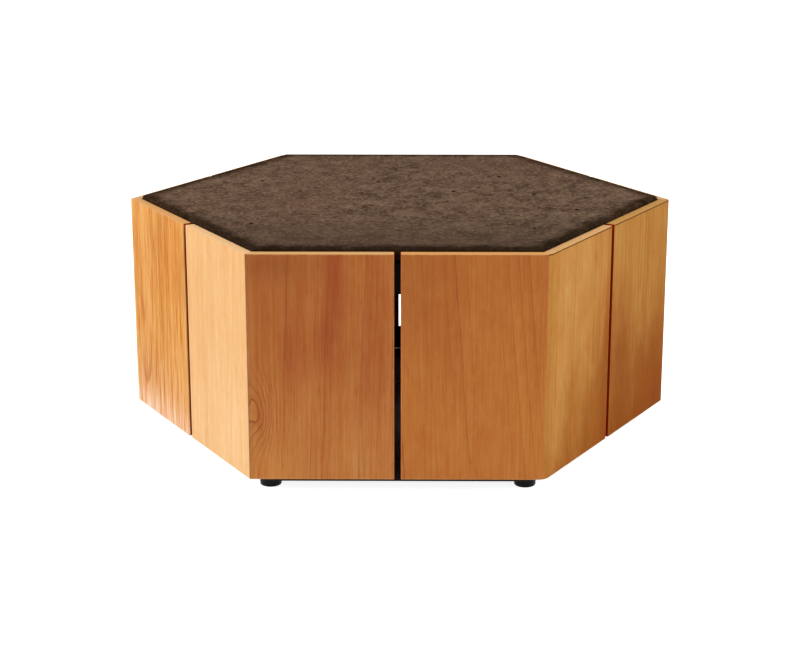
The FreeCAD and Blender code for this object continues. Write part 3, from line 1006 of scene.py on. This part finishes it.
@dataclass
class WoodRing:
    """The twelve upright boards."""

    outer: float
    inner: float
    gap: float
    bottom: float
    rim: float
    arris: float = 1.2 * MM
    rounding: float = 3.0 * MM
    soft_rounding: float = 20.0 * MM
    soft_corner: Corner = Corner.FRONT_RIGHT
    rounding_steps: int = 10
    arris_steps: int = 4
    sharp_from: float = math.radians(25.0)
    rubbed_share: float = 0.3
    rim_share: float = 0.85
    grain_bump: float = 0.035
    grain_depth: float = 0.25 * MM

    @classmethod
    def from_frame(cls) -> "WoodRing":
        """Read the ring's sizes from the boards of the front side."""
        low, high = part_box("front_board_left")
        return cls(outer=-low.y, inner=-high.y, gap=-2.0 * high.x, bottom=low.z, rim=high.z)

    @property
    def radius(self) -> float:
        """Distance from the axis to a sharp outer corner."""
        return self.outer / math.cos(HALF_SIXTH)

    @property
    def board_width(self) -> float:
        """Width of a board's outer face."""
        return (self.radius - self.gap) / 2.0

    def corner_block(self, rounding: float) -> bmesh.types.BMesh:
        """Model the two boards of a corner in one block that points to the front.

        Args:
            rounding: Radius of the outer corner.

        Returns:
            The block, not yet cut at the mitre.
        """
        shape = bmesh.new()
        along = Vector((math.cos(HALF_SIXTH), math.sin(HALF_SIXTH), 0.0))
        inward = Vector((-along.y, along.x, 0.0)) * (self.outer - self.inner)
        tip = Vector((0.0, -self.radius, self.bottom))
        heel = Vector((0.0, -self.inner / math.cos(HALF_SIXTH), self.bottom))
        end = tip + along * self.board_width
        wing = [end, end + inward]
        other = [Vector((-place.x, place.y, place.z)) for place in wing]
        outline = [tip, *wing, heel, *reversed(other)]
        base = shape.faces.new([shape.verts.new(place) for place in outline])
        raised = new_verts(bmesh.ops.extrude_face_region(shape, geom=[base])["geom"])
        bmesh.ops.translate(shape, verts=raised, vec=(0.0, 0.0, self.rim - self.bottom))
        at_tip = {vert for vert in shape.verts if (vert.co.xy - tip.xy).length < SAME_PLACE}
        ridge = [edge for edge in shape.edges if at_tip.issuperset(edge.verts)]
        bmesh.ops.bevel(shape, geom=ridge, offset=rounding * math.tan(HALF_SIXTH), offset_type="OFFSET",
                        segments=self.rounding_steps, profile=0.5, affect="EDGES", material=-1)
        return shape

    def board(self, corner: Corner, side_of_mitre: int) -> bmesh.types.BMesh:
        """Cut one board from its corner's block, ease its arrises except at the mitre and turn it into place.

        Args:
            corner: The corner that the board reaches.
            side_of_mitre: 1 for the board to the right of the mitre seen from outside, -1 for the left.

        Returns:
            The board.
        """
        soft = corner is self.soft_corner
        shape = self.corner_block(self.soft_rounding if soft else self.rounding)
        bmesh.ops.bisect_plane(shape, geom=whole(shape), dist=SAME_PLACE, plane_co=(0, 0, 0),
                               plane_no=(side_of_mitre, 0, 0), clear_inner=True)
        close(shape)
        bmesh.ops.recalc_face_normals(shape, faces=shape.faces)
        at_mitre = {vert for vert in shape.verts if abs(vert.co.x) < SAME_PLACE}
        sharp = [edge for edge in shape.edges if edge.calc_face_angle(0.0) > self.sharp_from]
        eased = [edge for edge in sharp if not at_mitre.issuperset(edge.verts)]
        bmesh.ops.bevel(shape, geom=eased, offset=self.arris, offset_type="OFFSET", segments=self.arris_steps,
                        profile=0.5, affect="EDGES", material=-1)
        bmesh.ops.transform(shape, matrix=corner.turn, verts=shape.verts)
        return shape

    def material(self, groups: GroupBook, side: Side, hand: Hand, finish: BoardFinish) -> bpy.types.Material:
        """Make the timber of one board, drawn in the board's own directions.

        Args:
            groups: Shared shader groups.
            side: Side of the ring.
            hand: Which of the side's two boards.
            finish: Colours and cut of the board.

        Returns:
            The new material.
        """
        material, wires, shader = start_material(f"timber_{side.label}_{hand.label}")
        middle_along = hand.value * (self.gap + self.board_width) / 2.0
        middle_out = (self.outer + self.inner) / 2.0
        middle_up = (self.bottom + self.rim) / 2.0
        mapping = {"Vector": wires.place(),
                   "Rotation": (0.0, 0.0, -SIXTH * side.value),
                   "Location": (-middle_along, middle_out, -middle_up)}
        place = wires.add("ShaderNodeMapping", mapping).outputs[0]
        timber = groups.place(wires, TIMBER, {"Place": place}, finish)
        colour = timber["Color"]
        for blush in finish.blushes:
            colour = groups.place(wires, BLUSH, {"Place": place, "Color": colour}, blush)["Color"]
        edges = groups.place(wires, EDGES, {
            "Place": place,
            "Half Width": self.board_width / 2.0,
            "Half Height": (self.rim - self.bottom) / 2.0,
            "Half Depth": (self.outer - self.inner) / 2.0,
            "Mitre Side": float(hand.value)}, finish)
        # Edge layers: rubbed arrises with a painted highlight, a painted shade line under the rim, the rim's
        # colour that is partly painted top light, and a painted shade line at the mitre.
        layers = {"Rubbed": (self.rubbed_share, RUBBED_AND_LIT), "Under Rim": (finish.rim_line, SHADOW),
                  "Rim": (self.rim_share, finish.rim), "Mitre": (finish.mitre_line, SHADOW)}
        for mask, (share, tone) in layers.items():
            colour = wires.mix(wires.times(edges[mask], share), colour, tone)
        # The gap faces, beyond the lit strip at the outer face, take the painted shade colour.
        wires.fill(shader, {
            "Base Color": wires.mix(edges["Gap"], colour, GAP_FACE_SHADE),
            "Roughness": timber["Roughness"],
            "Specular IOR Level": finish.specular})
        wires.bump(shader, timber["Height"], self.grain_bump, self.grain_depth)
        return material

    def build(self, groups: GroupBook) -> None:
        """Make and dress all boards.

        Args:
            groups: Shared shader groups.
        """
        for side in Side:
            for hand in Hand:
                corner = Corner(side.value if hand is Hand.RIGHT else (side.value - 1) % len(Corner))
                shape = self.board(corner, -hand.value)
                material = self.material(groups, side, hand, BOARD_FINISHES[side, hand])
                piece = make_piece(f"timber_{side.label}_{hand.label}", shape, material)
                weigh_normals(piece)
                settle(piece, "frame", "board", f"{side.label}_board_{hand.label}")


PIT_PLACES: tuple[Pair, ...] = (
    (-0.24, -0.22), (0.30, -0.11), (0.235, 0.015), (0.31, 0.085), (0.14, 0.075), (0.22, -0.25), (0.18, 0.17),
    (-0.04, 0.125), (0.095, 0.04), (-0.25, 0.13))
PIT_LAYER = "pit"


@dataclass(frozen=True)
class CastFinish:
    """Look of the slab: brown-grey mottling, dark pits, and a darker border."""

    ground: Colour = (0.060, 0.033, 0.020)
    blotch: Cloud = Cloud((34.0, 25.0, 34.0), 8.0, 0.82)
    blotch_tone: Tone = Tone((0.215, 0.132, 0.085), (0.32, 0.68), 1.0)
    drift: Cloud = Cloud((4.0, 4.0, 4.0), 3.0)
    drift_tone: Tone = Tone((0.145, 0.077, 0.049), (0.38, 0.64), 0.45)
    grit: Cloud = Cloud((150.0, 105.0, 150.0), 4.0, 0.65)
    pale_grit: Tone = Tone((0.33, 0.22, 0.148), (0.5, 0.72), 0.6)
    dark_grit: Tone = Tone((0.045, 0.028, 0.019), (0.48, 0.3), 0.6)
    front_tone: Tone = Tone((0.060, 0.040, 0.028), (-0.1, -0.34), 0.45)
    border: Cloud = Cloud((30.0, 30.0, 30.0), 4.0, 0.65)
    border_raggedness: float = 0.05
    border_span: Pair = (36.0 * MM, 2.0 * MM)
    border_tint: Colour = (0.27, 0.25, 0.21)
    pit_tone: Tone = Tone((0.010, 0.006, 0.005), (0.05, 0.4), 0.95)
    roughness_span: Pair = (0.25, 0.75)
    roughness: Pair = (0.62, 0.8)
    specular: float = 0.0
    grit_relief: float = 0.6
    bump: float = 0.3
    bump_depth: float = 0.5 * MM

    def material(self, apothem: float) -> bpy.types.Material:
        """Make the material.

        Args:
            apothem: Apothem of the slab.

        Returns:
            The new material.
        """
        material, wires, shader = start_material("cast_slab")
        place = wires.place()
        blotch = wires.cloud(place, self.blotch)
        grit = wires.cloud(place, self.grit)
        colour = wires.lay(self.ground, blotch, self.blotch_tone)
        colour = wires.lay(colour, wires.cloud(place, self.drift), self.drift_tone)
        colour = wires.lay(colour, grit, self.pale_grit)
        colour = wires.lay(colour, grit, self.dark_grit)
        colour = wires.lay(colour, wires.parts(place)[1], self.front_tone)
        ragged = wires.centred(wires.cloud(place, self.border), self.border_raggedness)
        inside = wires.plus(wires.minus(apothem, wires.apothem(place)), ragged)
        colour = wires.mix(wires.step(inside, *self.border_span), colour, self.border_tint, "MULTIPLY")
        pit = wires.add("ShaderNodeAttribute", attribute_name=PIT_LAYER).outputs["Fac"]
        wires.fill(shader, {
            "Base Color": wires.lay(colour, pit, self.pit_tone),
            "Roughness": wires.step(blotch, *self.roughness_span, *self.roughness),
            "Specular IOR Level": self.specular})
        relief = wires.calc("MULTIPLY_ADD", grit, self.grit_relief, blotch)
        wires.bump(shader, relief, self.bump, self.bump_depth)
        return material


@dataclass
class CastSlab:
    """The loose slab: a dense mesh with a softly uneven face, pits and a rounded upper edge."""

    apothem: float
    underside: float
    top: float
    corner_radius: float = 10.0 * MM
    arris: float = 3.5 * MM
    arris_steps: int = 5
    under_arris: float = 1.0 * MM
    cuts: int = 168
    swell: float = 0.25 * MM
    swell_cycles: float = 28.0
    level_border: float = 25.0 * MM
    pit_stretch: float = 1.7
    pit_radii_mm: Pair = (4.0, 5.5)
    pit_depths_mm: Pair = (0.8, 1.4)
    crease: float = 50.0
    seed: int = 7

    @classmethod
    def from_frame(cls) -> "CastSlab":
        """Read the slab's sizes from its node."""
        low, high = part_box("top_slab")
        return cls(apothem=high.y, underside=low.z, top=high.z)

    def plate(self) -> bmesh.types.BMesh:
        """Model the slab: a finely divided face, then rings of edges down its sides, then its underside.

        Returns:
            The closed slab.
        """
        shape = bmesh.new()
        flat = self.apothem - self.arris
        radius = flat / math.cos(HALF_SIXTH)
        turn = Matrix.Rotation(HALF_SIXTH, 4, "Z")
        bmesh.ops.create_circle(shape, cap_ends=True, cap_tris=True, segments=6, radius=radius, matrix=turn)
        bmesh.ops.subdivide_edges(shape, edges=shape.edges, cuts=self.cuts, use_grid_fill=True)
        bmesh.ops.translate(shape, verts=shape.verts, vec=(0, 0, self.top))
        self.round_corners(list(shape.verts), flat)
        self.roughen(shape)
        rings = rounded((flat, self.top - self.arris), self.arris, 90.0, 0.0, self.arris_steps)
        rings.append((self.apothem, self.underside + self.under_arris))
        rings.append((self.apothem - self.under_arris, self.underside))
        reached = flat
        for apothem, level in rings[1:]:
            self.spread(draw_out(shape, open_edges(shape)), apothem - reached, level)
            reached = apothem
        close(shape)
        return shape

    def spread(self, verts: list[bmesh.types.BMVert], outwards: float, level: float) -> None:
        """Move a ring of points square to the slab's border and to a level.

        Args:
            verts: Points of the ring.
            outwards: Distance to move them by.
            level: Height to bring them to.
        """
        for vert in verts:
            arm, corner = self.corner_arm(vert.co)
            turn = max(-HALF_SIXTH, min(HALF_SIXTH, arm.angle_signed(Vector((1.0, 0.0)), 0.0)))
            vert.co += Vector((math.cos(corner + turn), math.sin(corner + turn), 0.0)) * outwards
            vert.co.z = level

    def corner_arm(self, place: Vector) -> tuple[Vector, float]:
        """Arm from the centre of the nearest corner's rounding to a place.

        Args:
            place: The place.

        Returns:
            The flat arm, turned so that the corner points along X, and the corner's direction from the axis.
        """
        corner = round(math.atan2(place.y, place.x) / SIXTH) * SIXTH
        flat = Matrix.Rotation(-corner, 2) @ place.xy
        return flat - Vector((self.corner_centre, 0.0)), corner

    @property
    def corner_centre(self) -> float:
        """Distance from the axis to the centre of a corner's rounding."""
        return (self.apothem - self.corner_radius) / math.cos(HALF_SIXTH)

    def round_corners(self, verts: list[bmesh.types.BMVert], flat: float) -> None:
        """Draw the points beyond a corner's rounding back onto it.

        Args:
            verts: Points of the face.
            flat: Apothem that the face reaches to.
        """
        reach = self.corner_radius - (self.apothem - flat)
        for vert in verts:
            arm, corner = self.corner_arm(vert.co)
            turn = arm.angle_signed(Vector((1.0, 0.0)), 0.0)
            if abs(turn) < HALF_SIXTH and arm.length > reach:
                drawn = arm.normalized() * reach + Vector((self.corner_centre, 0.0))
                vert.co.xy = Matrix.Rotation(corner, 2) @ drawn

    def roughen(self, shape: bmesh.types.BMesh) -> None:
        """Give the face a soft swell and a scatter of small pits, all at or below the nominal level.

        Args:
            shape: The slab's face.
        """
        dice = random.Random(self.seed)
        depth_layer = shape.verts.layers.float.new(PIT_LAYER)
        pits = [(Vector(place), dice.uniform(*self.pit_radii_mm) * MM, dice.uniform(*self.pit_depths_mm) * MM)
                for place in PIT_PLACES]
        across = [Matrix.Rotation(HALF_SIXTH + SIXTH * i, 2) @ Vector((1.0, 0.0)) for i in range(3)]
        for vert in shape.verts:
            inside = self.apothem - self.arris - max(abs(vert.co.xy.dot(way)) for way in across)
            swell = self.swell * min(1.0, inside / self.level_border)
            vert.co.z -= swell * max(0.0, 0.5 + 0.5 * noise.noise(vert.co * self.swell_cycles))
            for place, radius, depth in pits:
                arm = vert.co.xy - place
                far = math.hypot(arm.x, arm.y / self.pit_stretch) / radius
                if far < 1.0:
                    vert[depth_layer] = (1.0 - far * far) ** 2
                    vert.co.z -= depth * vert[depth_layer]

    def build(self) -> None:
        """Make and dress the slab."""
        piece = make_piece("cast_slab", self.plate(), CastFinish().material(self.apothem), self.crease)
        settle(piece, "slab", "slab", "top_slab")


@dataclass
class InnerFrame:
    """Rails, posts, bearers, plates, nuts and bumpers, which keep their CAD shapes."""

    steel: bpy.types.Material
    zinc: bpy.types.Material
    rubber: bpy.types.Material

    def build(self) -> None:
        """Dress every piece of the frame."""
        for side in Side:
            for level in Level:
                dress(f"{side.label}_{level.label}_rail", self.steel)
        for corner in Corner:
            dress(f"{corner.label}_corner_post", self.steel)
        for node in ("left_slab_bearer", "right_slab_bearer", "foot_plates"):
            dress(node, self.steel)
        dress("foot_nuts", self.zinc)
        dress("slab_bumpers", self.rubber)


RAIL_SHEET = 3.0 * MM
SCREW_FROM_GAP = 40.0 * MM
SCREW_FROM_CORNER = 70.0 * MM


@dataclass
class BoardScrews:
    """Pan-head screws that hold the boards to the rails of one level, their cross slots facing inwards.

    The dome's profile is in shares of the head's radius and height, the point's in shank radii.
    """

    level: Level
    height: float
    seat: float
    tip: float
    near_gap: float
    near_corner: float
    head_radius: float
    head_height: float = 2.8 * MM
    shank_radius: float = 2.25 * MM
    flat_radius: float = 2.7 * MM
    slot_reach: float = 2.0 * MM
    slot_half: float = 0.45 * MM
    slot_depth: float = 1.5 * MM
    slot_taper: float = 0.6
    dome: tuple[Pair, ...] = ((1.0, 0.4), (0.93, 0.7), (0.78, 0.91))
    point: tuple[Pair, ...] = ((0.0, 0.0), (0.4, 0.5), (1.0, 1.5))
    segments: int = 24
    seed: int = 4

    @classmethod
    def from_frame(cls, level: Level, ring: WoodRing) -> "BoardScrews":
        """Read the level's sizes from its nodes.

        Args:
            level: Which level of rails.
            ring: The boards that the screws hold.

        Returns:
            The screws of that level.
        """
        low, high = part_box(f"{level.label}_rail_screws")
        return cls(level, height=(low.z + high.z) / 2.0, seat=ring.inner - RAIL_SHEET, tip=-low.y,
                   near_gap=ring.gap / 2.0 + SCREW_FROM_GAP,
                   near_corner=ring.radius / 2.0 - SCREW_FROM_CORNER, head_radius=(high.z - low.z) / 2.0)

    def screw(self) -> bmesh.types.BMesh:
        """Model one screw on the Z axis, its head up and the underside of the head at the origin.

        Returns:
            The closed screw.
        """
        shape = bmesh.new()
        length = self.tip - self.seat
        shank = self.shank_radius
        profile = [(shank * across, shank * up - length) for across, up in self.point]
        profile += [(shank, 0.0), (self.head_radius, 0.0)]
        profile += [(self.head_radius * across, self.head_height * up) for across, up in self.dome]
        profile.append((self.flat_radius, self.head_height))
        lathe(shape, profile, self.segments)
        floor = sink(shape, open_edges(shape), self.cross(shape), self.slot_depth)
        bmesh.ops.scale(shape, verts=floor, vec=(self.slot_taper, self.slot_taper, 1.0))
        close(shape)
        return shape

    def cross(self, shape: bmesh.types.BMesh) -> list[bmesh.types.BMEdge]:
        """Draw the outline of the cross slot on the flat of the head.

        Args:
            shape: The screw.

        Returns:
            The outline's edges.
        """
        arm = [Vector((self.slot_reach, -self.slot_half, self.head_height)),
               Vector((self.slot_reach, self.slot_half, self.head_height)),
               Vector((self.slot_half, self.slot_half, self.head_height))]
        points = []
        for quarter in range(4):
            turn = Matrix.Rotation(math.radians(90.0 * quarter), 3, "Z")
            points += [shape.verts.new(turn @ place) for place in arm]
        return [shape.edges.new(pair) for pair in zip(points, points[1:] + points[:1])]

    def build(self, material: bpy.types.Material) -> None:
        """Drive all screws of the level, each turned a little differently.

        Args:
            material: Finish of the screws.
        """
        dice = random.Random(self.seed)
        shape = self.screw()
        master = whole(shape)
        inwards = Matrix.Rotation(math.radians(-90.0), 4, "X")
        for side in Side:
            for along in (-self.near_corner, -self.near_gap, self.near_gap, self.near_corner):
                copied = new_verts(bmesh.ops.duplicate(shape, geom=master)["geom"])
                place = Matrix.Translation((along, -self.seat, self.height)) @ inwards
                roll = Matrix.Rotation(dice.uniform(0.0, SIXTH), 4, "Z")
                turn = Matrix.Rotation(SIXTH * side.value, 4, "Z")
                bmesh.ops.transform(shape, matrix=turn @ place @ roll, verts=copied)
        bmesh.ops.delete(shape, geom=master, context="VERTS")
        piece = make_piece(f"{self.level.label}_pan_head_screws", shape, material)
        settle(piece, "frame", "zinc", f"{self.level.label}_rail_screws")


@dataclass
class LevellingFeet:
    """Six moulded pads, each holding the collar of a threaded stem.

    The thread is given as the heights, in pitches, at which its root and its crest start and end.
    """

    radius: float
    height: float
    out: float
    collar_bottom: float
    stem_top: float
    collar_radius: float
    edge: float = 3.0 * MM
    edge_steps: int = 6
    lip: float = 1.0 * MM
    lip_steps: int = 4
    collar_height: float = 3.4 * MM
    collar_ease: float = 0.4 * MM
    stem_sunk: float = 0.2 * MM
    clearance: float = 0.3 * MM
    crest_radius: float = 5.0 * MM
    root_radius: float = 4.1 * MM
    pitch: float = 1.5 * MM
    thread: tuple[float, ...] = (0.0, 0.25, 0.56, 0.69)
    spare_turns: int = 2
    key_across: float = 5.0 * MM
    key_depth: float = 4.0 * MM
    pad_segments: int = 64
    stem_segments: int = 24
    stem_crease: float = 30.0

    @classmethod
    def from_frame(cls) -> "LevellingFeet":
        """Read the feet's sizes from one pad and its stem.

        Returns:
            The feet.
        """
        low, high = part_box("right_foot_pad")
        stem_low, stem_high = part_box("right_foot_stem")
        return cls(radius=(high.y - low.y) / 2.0, height=high.z, out=(low.x + high.x) / 2.0,
                   collar_bottom=stem_low.z, stem_top=stem_high.z,
                   collar_radius=(stem_high.y - stem_low.y) / 2.0)

    @property
    def collar_top(self) -> float:
        """Level of the upper face of the stem's collar."""
        return self.collar_bottom + self.collar_height

    def pad(self) -> bmesh.types.BMesh:
        """Turn a pad with its rounded edges, throat and socket, on the Z axis.

        Returns:
            The closed pad.
        """
        shape = bmesh.new()
        throat = self.crest_radius + self.clearance
        socket = self.collar_radius + self.clearance
        ceiling = self.collar_top + self.clearance
        profile = [(0.0, 0.0)]
        profile += rounded((self.radius - self.edge, self.edge), self.edge, -90.0, 0.0, self.edge_steps)
        lip_centre = (self.radius - self.lip, self.height - self.lip)
        profile += rounded(lip_centre, self.lip, 0.0, 90.0, self.lip_steps)
        profile += [(throat, self.height), (throat, ceiling), (socket, ceiling), (socket, self.collar_bottom)]
        lathe(shape, profile + [(0.0, self.collar_bottom)], self.pad_segments)
        return shape

    def stem(self) -> bmesh.types.BMesh:
        """Wind the stem's thread, sink its key socket and add its collar, on the Z axis.

        Returns:
            The stem.
        """
        shape = bmesh.new()
        foot = self.collar_top - self.stem_sunk
        start = foot - self.spare_turns * self.pitch
        turns = math.ceil((self.stem_top - start) / self.pitch) + 1
        radii = (self.root_radius, self.root_radius, self.crest_radius, self.crest_radius)
        points = []
        for turn in range(turns):
            for radius, share in zip(radii, self.thread):
                points.append(shape.verts.new((radius, 0.0, start + (turn + share) * self.pitch)))
        edges = [shape.edges.new(pair) for pair in zip(points, points[1:])]
        bmesh.ops.spin(shape, geom=points + edges, cent=(0, 0, 0), axis=(0, 0, 1), angle=FULL_TURN,
                       dvec=(0.0, 0.0, self.pitch / self.stem_segments), steps=self.stem_segments,
                       use_merge=False, use_duplicate=False)
        bmesh.ops.remove_doubles(shape, verts=shape.verts, dist=SAME_PLACE)
        for level, away in ((self.stem_top, 1.0), (foot, -1.0)):
            bmesh.ops.bisect_plane(shape, geom=whole(shape), dist=SAME_PLACE, plane_co=(0, 0, level),
                                   plane_no=(0, 0, away), clear_outer=True)
        self.sink_key(shape)
        close(shape)
        ease = self.collar_ease
        eased = self.collar_radius - ease
        collar = [(0.0, self.collar_bottom), (eased, self.collar_bottom),
                  (self.collar_radius, self.collar_bottom + ease),
                  (self.collar_radius, self.collar_top - ease),
                  (eased, self.collar_top), (0.0, self.collar_top)]
        lathe(shape, collar, self.stem_segments)
        return shape

    def sink_key(self, shape: bmesh.types.BMesh) -> None:
        """Sink the hexagonal key socket into the stem's upper end.

        Args:
            shape: The stem, open at its upper end.
        """
        upper = self.stem_top - SAME_PLACE
        rim = [edge for edge in open_edges(shape) if all(vert.co.z > upper for vert in edge.verts)]
        lift = Matrix.Translation((0.0, 0.0, self.stem_top))
        radius = self.key_across / 2.0 / math.cos(HALF_SIXTH)
        corners = set(bmesh.ops.create_circle(shape, segments=6, radius=radius, matrix=lift)["verts"])
        mouth = [edge for edge in shape.edges if corners.issuperset(edge.verts)]
        sink(shape, rim, mouth, self.key_depth)

    def build(self, plastic: bpy.types.Material, zinc: bpy.types.Material) -> None:
        """Make and dress every foot.

        Args:
            plastic: Finish of the pads.
            zinc: Finish of the stems.
        """
        for corner in Corner:
            place = corner.turn @ Matrix.Translation((0.0, -self.out, 0.0))
            pad, stem = self.pad(), self.stem()
            for shape in (pad, stem):
                bmesh.ops.transform(shape, matrix=place, verts=shape.verts)
            piece = make_piece(f"{corner.label}_moulded_pad", pad, plastic)
            settle(piece, f"{corner.label}_pad", "foot_pad", f"{corner.label}_foot_pad")
            piece = make_piece(f"{corner.label}_threaded_stem", stem, zinc, self.stem_crease)
            settle(piece, f"{corner.label}_stem", "zinc", f"{corner.label}_foot_stem")


WHITE: Colour = (1.0, 1.0, 1.0)


@dataclass(frozen=True)
class Lamp:
    """A square soft lamp."""

    name: str
    place: Triple
    size: float
    watts: float

    def hang(self, aim: Triple) -> None:
        """Hang the lamp in its place.

        Args:
            aim: Point that it looks at.
        """
        light = bpy.data.lights.new(self.name, "AREA")
        light.shape = "SQUARE"
        light.size = self.size
        light.energy = self.watts
        lamp = bpy.data.objects.new(self.name, light)
        lamp.location = self.place
        towards = Vector(aim) - Vector(self.place)
        lamp.rotation_euler = towards.to_track_quat("-Z", "Y").to_euler()
        bpy.context.scene.collection.objects.link(lamp)


@dataclass
class Studio:
    """Pale floor, soft lamps, white surroundings and the camera."""

    lamps: tuple[Lamp, ...] = (
        Lamp("key_left", (-3.2, -1.2, 2.0), 2.4, 80.0),
        Lamp("fill_right", (3.0, -1.6, 1.9), 2.4, 60.0),
        Lamp("overhead", (0.0, 0.6, 3.4), 2.0, 20.0))
    lamp_aim: Triple = (0.0, 0.0, 0.25)
    ambient: float = 0.38
    floor_half: float = 30.0
    floor_colour: Colour = (0.86, 0.86, 0.86)
    floor_roughness: float = 0.9
    floor_glow: float = 0.88
    shade_apothem: float = 0.395
    shade_back: float = 0.05
    shade_blur: float = 0.035
    lens_mm: float = 84.37
    sensor_mm: float = 36.0
    camera_place: Triple = (0.0262, -3.208, 1.080)
    camera_pitch: float = 15.85
    camera_yaw: float = 0.456

    def floor(self) -> None:
        """Lay a floor that keeps the shadow, is white to the camera and is clear from below."""
        shape = bmesh.new()
        bmesh.ops.create_grid(shape, x_segments=1, y_segments=1, size=self.floor_half)
        material, wires, shader = start_material("studio_floor")
        reach = wires.apothem(wires.vector("SUBTRACT", wires.place(), (0.0, self.shade_back, 0.0)))
        open_floor = wires.step(reach, self.shade_apothem - self.shade_blur, self.shade_apothem)
        seen = wires.times(wires.seen(), open_floor)
        wires.fill(shader, {
            "Base Color": self.floor_colour,
            "Roughness": self.floor_roughness,
            "Specular IOR Level": 0.0,
            "Emission Color": WHITE,
            "Emission Strength": wires.times(seen, self.floor_glow)})
        clear = wires.add("ShaderNodeBsdfTransparent")
        below = wires.add("ShaderNodeNewGeometry").outputs["Backfacing"]
        mixed = wires.add("ShaderNodeMixShader", {0: below, 1: shader.outputs[0], 2: clear.outputs[0]})
        output = next(node for node in material.node_tree.nodes if node.type == "OUTPUT_MATERIAL")
        wires.feed(output.inputs["Surface"], mixed.outputs[0])
        floor = make_piece("studio_floor", shape, material)

    def surroundings(self) -> None:
        """Light the scene evenly and show white where the camera, gloss or glass looks past the floor."""
        world = bpy.data.worlds.new("studio")
        world.use_nodes = True
        world.node_tree.nodes.clear()
        wires = Wiring(world.node_tree)
        soft = wires.add("ShaderNodeBackground", {"Color": WHITE, "Strength": self.ambient})
        white = wires.add("ShaderNodeBackground", {"Color": WHITE, "Strength": 1.0})
        mixed = wires.add("ShaderNodeMixShader", {0: wires.seen(), 1: soft.outputs[0], 2: white.outputs[0]})
        wires.add("ShaderNodeOutputWorld", {"Surface": mixed.outputs[0]})
        bpy.context.scene.world = world

    def camera(self) -> None:
        """Set the camera at the photograph's viewing angle."""
        data = bpy.data.cameras.new("camera")
        data.sensor_width = self.sensor_mm
        data.lens = self.lens_mm
        camera = bpy.data.objects.new("camera", data)
        camera.location = self.camera_place
        camera.rotation_euler = (math.radians(90.0 - self.camera_pitch), 0.0, math.radians(self.camera_yaw))
        bpy.context.scene.collection.objects.link(camera)
        bpy.context.scene.camera = camera

    def build(self) -> None:
        """Set up floor, light and camera."""
        bpy.context.scene.view_settings.view_transform = "Standard"
        self.floor()
        self.surroundings()
        for lamp in self.lamps:
            lamp.hang(self.lamp_aim)
        self.camera()


def main() -> None:
    """Build the table and its studio."""
    logging.basicConfig(level=logging.INFO, format="%(message)s")
    groups = GroupBook()
    zinc = ZINC_PLATE.material(groups)
    ring = WoodRing.from_frame()
    ring.build(groups)
    CastSlab.from_frame().build()
    InnerFrame(POWDER_COAT.material(groups), zinc, BLACK_RUBBER.material(groups)).build()
    for level in (Level.TOP, Level.BOTTOM):
        BoardScrews.from_frame(level, ring).build(zinc)
    LevellingFeet.from_frame().build(MOULDED_BLACK.material(groups), zinc)
    Studio().build()


if __name__ == "__main__":
    main()
